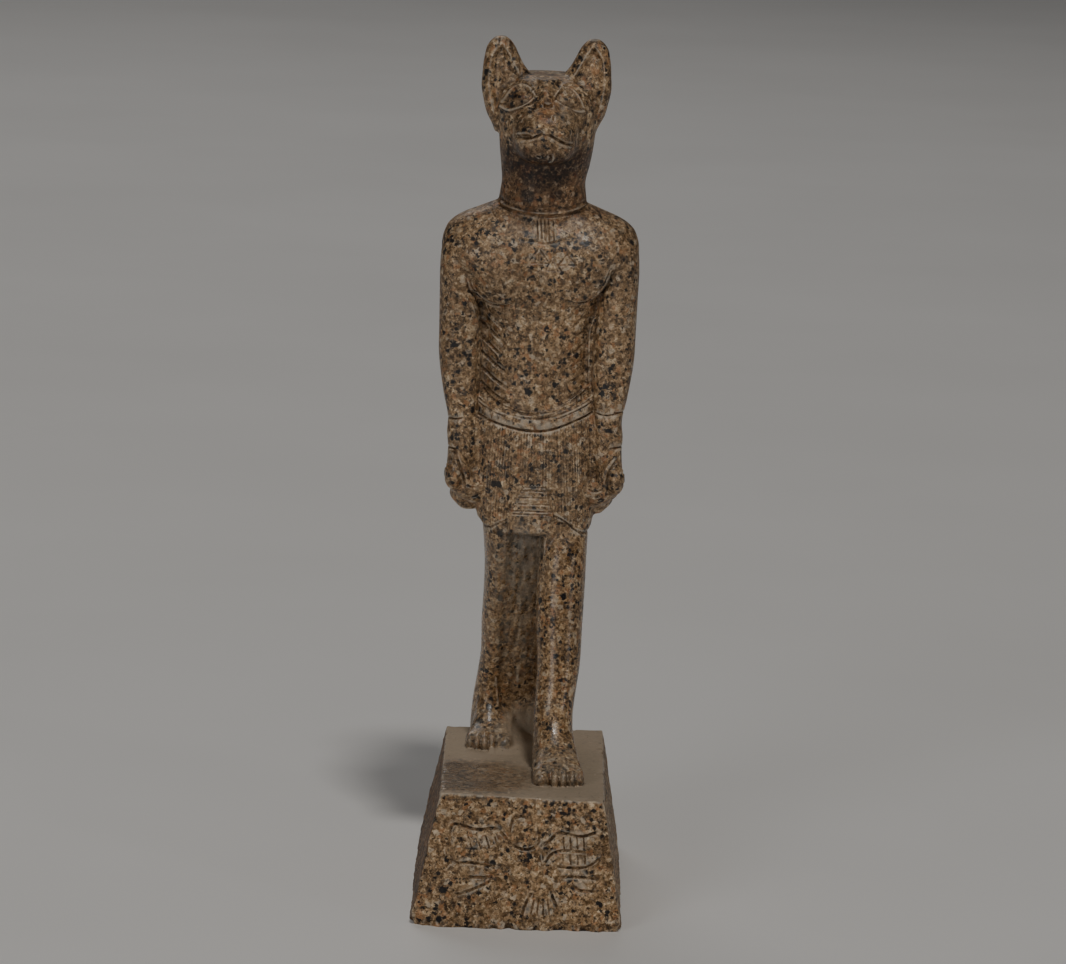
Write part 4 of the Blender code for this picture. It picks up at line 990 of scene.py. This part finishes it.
def averaged(values, ends, passes):
    """The values after each point has taken the mean of its neighbours, a few times over."""
    count = len(values)
    shared = np.bincount(ends.ravel(), minlength=count)[:, None]
    for _ in range(passes):
        total = np.empty_like(values)
        for k in range(values.shape[1]):
            total[:, k] = np.bincount(ends[:, 0], values[ends[:, 1], k], count)
            total[:, k] += np.bincount(ends[:, 1], values[ends[:, 0], k], count)
        values = 0.5 * values + 0.5 * total / np.maximum(shared, 1)
    return values


def mark_hollows(mesh):
    """Keeps on each point how deep it lies in a hollow and how far it stands out on a ridge, 0 to 1."""
    surface = Surface(mesh)
    ends = edge_ends(mesh)
    fine = averaged(surface.points, ends, 4)
    broad = averaged(fine, ends, 26)
    for name, sign, smoothed, reach in (
        ("groove", 1, fine, 0.14), ("hollow", 1, broad, 0.5), ("ridge", -1, fine, 0.12)
    ):
        depth = ((smoothed - surface.points) * surface.normals).sum(axis=1) * sign
        layer = mesh.attributes.new(name, "FLOAT", "POINT")
        layer.data.foreach_set("value", np.clip(depth / reach, 0, 1).astype(np.float32))


def cut_underside(mesh):
    """Puts the statue on the ground, in metres, with its underside cut flat and centred on the origin."""
    stone = bmesh.new()
    stone.from_mesh(mesh)
    bmesh.ops.scale(stone, vec=(PART, PART, PART), verts=stone.verts)
    bmesh.ops.translate(stone, vec=(0, 0, PLINTH_HEIGHT), verts=stone.verts)
    everything = stone.verts[:] + stone.edges[:] + stone.faces[:]
    cut = bmesh.ops.bisect_plane(
        stone, geom=everything, plane_co=(0, 0, 0), plane_no=(0, 0, -1), clear_outer=True
    )
    border = [item for item in cut["geom_cut"] if isinstance(item, bmesh.types.BMEdge)]
    bmesh.ops.contextual_create(stone, geom=border)
    low, high = cad_box
    own_low = Vector([min(point.co[k] for point in stone.verts) for k in range(3)])
    own_high = Vector([max(point.co[k] for point in stone.verts) for k in range(3)])
    shift = (low + high) / 2 - (own_low + own_high) / 2
    bmesh.ops.translate(stone, vec=(shift.x, shift.y, 0), verts=stone.verts)
    for point in stone.verts:
        point.co = [min(max(point.co[k], low[k]), high[k]) for k in range(3)]
    bmesh.ops.triangulate(stone, faces=stone.faces)
    stone.to_mesh(mesh)
    stone.free()


def make_statue():
    mesh = evaluated(rough_form(), join_forms)
    split_edges(mesh, fine_edges, 1)
    split_edges(mesh, pleat_edges, 2)
    carve(mesh)
    mark_hollows(mesh)
    mesh = evaluated(mesh, thin_faces)
    cut_underside(mesh)
    mesh.name = "carved_statue"
    mesh.materials.append(granite())
    mesh.shade_smooth()
    return add_object("carved_statue", mesh)


# Materials: patterns, and what is made of them

class Pattern:
    """One output of a shader node. Sums, products and mixtures of patterns are further nodes."""

    def __init__(self, socket):
        self.socket = socket

    def beside(self, out):
        """Another output of the same node."""
        return Pattern(self.socket.node.outputs[out])

    def node(self, kind, inputs, out=0, **settings):
        return add_node(self.socket.id_data, kind, inputs, out, **settings)

    def maths(self, operation, *values):
        return self.node("ShaderNodeMath", dict(enumerate(values)), operation=operation)

    def __add__(self, other):
        return self.maths("ADD", self, other)

    def __mul__(self, other):
        return self.maths("MULTIPLY", self, other)

    def __rsub__(self, other):
        return self.maths("SUBTRACT", other, self)

    def most(self, other):
        return self.maths("MAXIMUM", self, other)

    def vector(self, operation, *values, out=0):
        """A step of vector arithmetic with this pattern first."""
        inputs = dict(enumerate((self, *values)))
        return self.node("ShaderNodeVectorMath", inputs, out, operation=operation)

    def axis(self, name):
        return self.node("ShaderNodeSeparateXYZ", {0: self}, name)

    def between(self, low, high, kind="SMOOTHSTEP"):
        """0 where the pattern is below low and 1 where it is above high."""
        inputs = {"Value": self, "From Min": low, "From Max": high}
        return self.node("ShaderNodeMapRange", inputs, interpolation_type=kind)

    def scaled(self, low, high):
        """The middle of a noise spread from low to high."""
        inputs = {"Value": self, "From Min": 0.3, "From Max": 0.7, "To Min": low, "To Max": high}
        return self.node("ShaderNodeMapRange", inputs)

    def mixed(self, share, other, blend="MIX"):
        """This colour with a share of another one."""
        inputs = {0: share, 6: self, 7: other}
        return self.node("ShaderNodeMix", inputs, 2, data_type="RGBA", blend_type=blend)


def fill_sockets(made, inputs):
    """Links a node's sockets to patterns, or sets them to values."""
    for key, value in inputs.items():
        if isinstance(value, Pattern):
            made.id_data.links.new(value.socket, made.inputs[key])
        else:
            made.inputs[key].default_value = value


def add_node(tree, kind, inputs, out=0, **settings):
    """A new node in a tree, with its settings and sockets, as the pattern that one output gives."""
    made = tree.nodes.new(kind)
    for name, value in settings.items():
        setattr(made, name, value)
    fill_sockets(made, inputs)
    return Pattern(made.outputs[out])


def start_material(name):
    """A new material, its shader, and the place on the object as a pattern."""
    material = bpy.data.materials.new(name)
    material.use_nodes = True
    tree = material.node_tree
    return material, tree.nodes["Principled BSDF"], add_node(tree, "ShaderNodeTexCoord", {}, "Object")


def ramp(value, stops):
    """The colours of the stops, run into each other as the value grows."""
    made = value.node("ShaderNodeValToRGB", {0: value})
    elements = made.socket.node.color_ramp.elements
    while len(elements) < len(stops):
        elements.new(0.5)
    for element, (place, colour) in zip(elements, stops):
        element.position = place
        element.color = (*colour, 1)
    return made


def noise(place, scale, detail=2, roughness=0.5):
    inputs = {"Vector": place, "Scale": scale, "Detail": detail, "Roughness": roughness}
    return place.node("ShaderNodeTexNoise", inputs)


def grains(place, size):
    """Random numbers for each crystal of a size, and how far a place is from its crystal's middle."""
    crystals = place.node("ShaderNodeTexVoronoi", {"Vector": place, "Scale": 1 / size}, "Color")
    numbers = crystals.node("ShaderNodeSeparateColor", {0: crystals})
    return numbers, numbers.beside(1), numbers.beside(2), crystals.beside("Distance")


def warped(place, scale, reach):
    """The place pushed about by noise, so that crystals have crooked edges."""
    shift = noise(place, scale).beside("Color").vector("SUBTRACT", (0.5, 0.5, 0.5))
    return shift.vector("MULTIPLY_ADD", (reach, reach, reach), place)


def blob(place, middle, radii, soft):
    """1 inside an egg round a place in metres and 0 outside it."""
    scaled = place.vector("SUBTRACT", middle).vector("MULTIPLY", tuple(1 / radius for radius in radii))
    return 1 - scaled.vector("LENGTH", out="Value").between(1 - soft, 1 + soft)


# The stone's colours

CRYSTALS = (
    (0.16, (0.08, 0.045, 0.022)), (0.32, (0.18, 0.108, 0.055)), (0.45, (0.30, 0.195, 0.108)),
    (0.57, (0.42, 0.285, 0.168)), (0.69, (0.58, 0.42, 0.27)), (0.84, (0.80, 0.66, 0.49)),
)
ORANGE_CRYSTAL = (0.52, 0.24, 0.105, 1)
PALE_CRYSTAL = (0.74, 0.65, 0.54, 1)
SMOKY_QUARTZ = (0.085, 0.070, 0.060, 1)
BROWN_MICA = (0.050, 0.030, 0.018, 1)
BLACK_MICA = (0.012, 0.013, 0.017, 1)
WARM_LEGS = (1.0, 0.90, 0.76, 1)
# Painted shade: the colour that darkens the plinth's left side
SHADED_SIDE = (0.46, 0.34, 0.24, 1)
# Dirt and painted shade: the near-black laid into grooves and hollows
DIRT_AND_SHADE = (0.045, 0.027, 0.014, 1)
# Wear and painted highlight: the pale colour laid on standing ridges, edges and lids
WORN_EDGE_AND_HIGHLIGHT = (0.74, 0.65, 0.52, 1)
FILM_OF_DUST = (0.36, 0.32, 0.26, 1)
THICK_DUST = (0.43, 0.345, 0.25, 1)

# Stains, painted shadows and painted shade, and films of dust, each an egg with its middle and radii in
# metres, and its strength
STAINS_AND_SHADE = (
    # The first three are painted shadow on the neck under the chin; the third is also a patch of dark mineral
    ((0.001, 0.012, 0.3370), (0.040, 0.040, 0.0170), 0.90, (0.58, 0.45, 0.36, 1)),
    ((0.001, 0.006, 0.3480), (0.032, 0.024, 0.0095), 1.0, (0.15, 0.10, 0.07, 1)),
    ((0.001, 0.008, 0.3380), (0.011, 0.010, 0.006), 0.75, (0.26, 0.26, 0.30, 1)),
    ((-0.006, 0.008, 0.3318), (0.0030, 0.008, 0.0017), 0.85, (0.10, 0.12, 0.17, 1)),
    ((0.007, 0.008, 0.3316), (0.0034, 0.008, 0.0020), 0.8, (0.16, 0.17, 0.22, 1)),
    ((0.001, -0.004, 0.3735), (0.0055, 0.012, 0.0070), 0.75, (0.66, 0.44, 0.26, 1)),
    ((-0.0125, 0.004, 0.3788), (0.0046, 0.012, 0.0032), 0.75, (0.42, 0.33, 0.26, 1)),
    # Painted shade in the hollow beside the nose at the left
    ((-0.0100, -0.004, 0.3665), (0.0055, 0.014, 0.0065), 0.60, (0.52, 0.49, 0.46, 1)),
    ((-0.026, -0.033, 0.0605), (0.034, 0.028, 0.006), 0.6, (0.50, 0.43, 0.37, 1)),
    ((-0.022, -0.046, 0.0605), (0.016, 0.008, 0.006), 0.75, (0.32, 0.29, 0.27, 1)),
    ((-0.034, -0.030, 0.0605), (0.020, 0.006, 0.006), 0.65, (0.32, 0.29, 0.27, 1)),
    ((-0.027, -0.010, 0.0605), (0.020, 0.005, 0.006), 0.80, (0.34, 0.31, 0.29, 1)),
    # Painted shadow at the top of the slot under the kilt, between the legs
    ((-0.003, 0.020, 0.1690), (0.012, 0.036, 0.0036), 0.90, (0.16, 0.11, 0.08, 1)),
)
DUSTY = (
    ((-0.003, 0.020, 0.158), (0.012, 0.030, 0.022), 0.7),
    ((-0.004, 0.024, 0.118), (0.011, 0.030, 0.030), 0.45),
    ((0.009, -0.006, 0.3740), (0.005, 0.014, 0.006), 0.45),
    ((0.017, -0.026, 0.0640), (0.020, 0.036, 0.0120), 0.42),
    ((-0.016, 0.036, 0.0640), (0.018, 0.036, 0.0120), 0.42),
)


def stone_colour(place, crooked):
    """Cream, tan and brown crystals that run into each other, with a few orange and a few pale ones."""
    tone, kind, _, _ = grains(crooked, 0.0022)
    fine_tone, _, _, _ = grains(crooked, 0.0009)
    cloud = noise(place, 420, 4, 0.65).between(0.32, 0.68, "LINEAR")
    colour = ramp(cloud * 0.40 + (tone * 0.26 + fine_tone * 0.34), CRYSTALS)
    colour = colour.mixed(kind.between(0.88, 0.94) * 0.45, ORANGE_CRYSTAL)
    return colour.mixed((1 - kind.between(0.04, 0.08)) * 0.55, PALE_CRYSTAL)


def add_mica(place, crooked, colour):
    """Ragged dark mica flecks of four sizes, which crowd together in places."""
    crowd = noise(place, 130, 3, 0.65).between(0.42, 0.66, "LINEAR")
    smoke = noise(place, 460, 4, 0.7).between(0.51, 0.61)
    colour = colour.mixed(smoke * (crowd * 0.55 + 0.42), SMOKY_QUARTZ)
    for size, least, more, strength, dark in (
        (0.0009, 0.05, 0.14, 0.75, BROWN_MICA), (0.0014, 0.03, 0.18, 0.85, BROWN_MICA),
        (0.0020, 0.025, 0.24, 0.95, BLACK_MICA), (0.0034, 0.005, 0.12, 0.97, BLACK_MICA),
    ):
        _, _, chance, away = grains(crooked.vector("ADD", (size * 7, size * 3, size * 5)), size)
        chosen = chance.maths("LESS_THAN", chance, crowd * more + least)
        colour = colour.mixed(chosen * (1 - away.between(0.42, 0.66)) * strength, dark)
    return colour


def add_stains_and_shade(place, colour):
    """Mottled stains, painted shadows and painted shade, and streaky films of dust."""
    loose = warped(place, 140, 0.010)
    mottled = noise(place, 520, 3, 0.6).between(0.34, 0.56) * 0.6 + 0.4
    # Each egg is a stain or a painted shadow, multiplied into the colour
    for middle, radii, strength, stain_and_shade in STAINS_AND_SHADE:
        colour = colour.mixed(blob(loose, middle, radii, 0.45) * mottled * strength, stain_and_shade, "MULTIPLY")
    streaks = noise(place.vector("MULTIPLY", (1, 1, 0.3)), 420, 3, 0.6).between(0.30, 0.62)
    for middle, radii, strength in DUSTY:
        colour = colour.mixed(blob(loose, middle, radii, 0.5) * streaks * strength, FILM_OF_DUST)
    return colour


def attribute(place, name):
    return place.node("ShaderNodeAttribute", {}, "Fac", attribute_name=name, attribute_type="GEOMETRY")


def add_wear(place, height, colour):
    """Dirt and painted shade in the grooves and hollows, and pale worn ridges that carry painted highlights.
    Also gives the mask of the dirt and shade.
    """
    broken = noise(place, 260, 3).between(0.30, 0.60)
    groove = attribute(place, "groove") * (broken * 0.4 + 0.4)
    # Dirt and painted shade: the grooves, and at less strength the broad hollows, are darkened where shade
    # gathers
    dirt_and_shade = groove.most(attribute(place, "hollow") * 0.4)
    # The pale ridges are worn stone and also painted highlights; they are broken by noise below the face and
    # unbroken on the face and ears
    pale_ridge_share = broken.most(height.between(0.364, 0.368))
    worn_and_highlight = attribute(place, "ridge").between(0.15, 0.7) * pale_ridge_share
    strength = height.between(0.352, 0.366) * -0.04 + 0.50
    return colour.mixed(dirt_and_shade, DIRT_AND_SHADE).mixed(worn_and_highlight * strength, WORN_EDGE_AND_HIGHLIGHT), dirt_and_shade


def dust_mask(place, height, facing_up):
    """Dust lies on the plinth's top and in the corner behind the rear foot, but not at the front left."""
    loose = warped(place, 90, 0.012)
    top = facing_up.between(0.55, 0.9) * (1 - height.between(0.0625, 0.066))
    bare = blob(loose, (-0.026, -0.033, 0.0605), (0.036, 0.034, 0.03), 0.3)
    heap = blob(loose, (0.002, 0.036, 0.063), (0.0115, 0.030, 0.017), 0.45)
    dust = (top * (bare * -0.72 + 1)).most(heap * 0.85) * height.between(0.056, 0.060)
    return dust * noise(place, 700, 3).between(0.22, 0.42)


def granite():
    """Polished speckled granite with dirt and painted shade in its grooves, pale worn ridges that carry
    painted highlights, painted shade on the plinth's left side, painted shadows under the chin and the kilt,
    and dust on the plinth.
    """
    material, shader, place = start_material("granite")
    height = place.axis("Z")
    normal = place.node("ShaderNodeNewGeometry", {}, "Normal")
    crooked = warped(warped(place, 520, 0.0016), 1900, 0.0011)
    colour = add_mica(place, crooked, stone_colour(place, crooked))
    shade = noise(place, 32).scaled(0.78, 1.08)
    tint = place.node("ShaderNodeCombineColor", {0: shade, 1: shade * 0.965, 2: shade * 0.88})
    colour = colour.mixed(1, tint, "MULTIPLY")
    legs = height.between(0.066, 0.08) * (1 - height.between(0.165, 0.175))
    # The stains mixed in here include painted shadows under the chin and the kilt, and painted shade beside
    # the nose
    colour = add_stains_and_shade(place, colour.mixed(legs * 0.3, WARM_LEGS, "MULTIPLY"))
    # Painted shade: the plinth's faces that look towards -X are darkened, as the side turned from the light
    painted_shade_left_side = (normal.axis("X") * -1).between(0.5, 0.85) * 0.9 * (1 - height.between(0.056, 0.061))
    colour, dirt_and_shade = add_wear(place, height, colour.mixed(painted_shade_left_side, SHADED_SIDE, "MULTIPLY"))
    dust = dust_mask(place, height, normal.axis("Z"))
    plinth = 1 - height.between(0.0585, 0.0615)
    gloss = grains(crooked, 0.0014)[0] * 0.16 + noise(place, 160, 3).scaled(0.13, 0.28)
    gloss += height.between(0.165, 0.18) * 0.19
    relief = noise(place, 1500, 3, 0.6) * 0.45 + noise(place, 240) * 0.8
    fill_sockets(shader, {
        "Base Color": colour.mixed(dust * 0.93, THICK_DUST),
        "Roughness": gloss.most(plinth * 0.52).most(dust * 0.9).most(dirt_and_shade * 0.75),
        "Normal": place.node("ShaderNodeBump", {"Strength": 0.35, "Distance": 0.0004, "Height": relief}),
        "Specular IOR Level": plinth * -0.3 + 0.5,
    })
    return material


def floor_material():
    material, shader, place = start_material("pale_floor")
    pale = ramp(noise(place, 3, 3), ((0.3, (0.86, 0.85, 0.83)), (0.7, (0.90, 0.89, 0.87))))
    fill_sockets(shader, {"Base Color": pale, "Roughness": 0.7})
    return material


# The stage: floor, light and camera

FLOOR_HALF = 9.0
LIGHT_AIM = (0, 0, 0.22)
LIGHT_DISTANCE = 5.0
SUNLIT = (1.0, 0.965, 0.92)
SOFT_WHITE = (1.0, 0.98, 0.96)
WORLD_COLOUR = (0.80, 0.82, 0.86, 1)
WORLD_STRENGTH = 0.036
CAMERA_PLACE = (0.0006, -2.430, 0.6505)
CAMERA_AIM = (0.0006, 0, 0.1965)
CAMERA_ROLL = 2.13
PHOTO_WIDTH = 1066
FOCAL_LENGTH = 5230


def add_floor():
    mesh = bpy.data.meshes.new("floor")
    corners = [(x * FLOOR_HALF, y * FLOOR_HALF, 0) for x, y in ((-1, -1), (1, -1), (1, 1), (-1, 1))]
    mesh.from_pydata(corners, [], [(0, 1, 2, 3)])
    mesh.materials.append(floor_material())
    floor = add_object("floor", mesh)


def add_area_light(name, azimuth, elevation, size, energy, colour):
    """A soft light that looks at the figure's chest. Azimuth 0 is in front and grows towards +X."""
    turn = math.radians(azimuth)
    rise = math.radians(elevation)
    away = Vector((math.sin(turn) * math.cos(rise), -math.cos(turn) * math.cos(rise), math.sin(rise)))
    data = bpy.data.lights.new(name, "AREA")
    data.shape = "DISK"
    data.size = size
    data.energy = energy
    data.color = colour
    light = add_object(name, data)
    light.location = Vector(LIGHT_AIM) + away * LIGHT_DISTANCE
    light.rotation_euler = (-away).to_track_quat("-Z", "Y").to_euler()


def add_lights():
    add_area_light("key", 12, 58, 0.60, 70, SUNLIT)
    add_area_light("right", 50, 10, 0.36, 9, SOFT_WHITE)
    add_area_light("left", -30, 17, 2.0, 33, SOFT_WHITE)
    add_area_light("back", 195, 42, 3.0, 34, SOFT_WHITE)
    world = bpy.data.worlds.new("studio")
    world.use_nodes = True
    fill_sockets(world.node_tree.nodes["Background"], {0: WORLD_COLOUR, 1: WORLD_STRENGTH})
    bpy.context.scene.world = world


def add_camera():
    """The photograph's long lens, a little above the head, rolled by two degrees."""
    eye = Vector(CAMERA_PLACE)
    data = bpy.data.cameras.new("camera")
    data.lens = data.sensor_width * FOCAL_LENGTH / PHOTO_WIDTH
    camera = add_object("camera", data)
    look = (Vector(CAMERA_AIM) - eye).to_track_quat("-Z", "Y").to_matrix().to_4x4()
    roll = Matrix.Rotation(math.radians(CAMERA_ROLL), 4, "Z")
    camera.matrix_world = Matrix.Translation(eye) @ look @ roll
    bpy.context.scene.camera = camera


statue = make_statue()
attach(statue, "root")
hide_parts("bastet_statue")
add_floor()
add_lights()
add_camera()
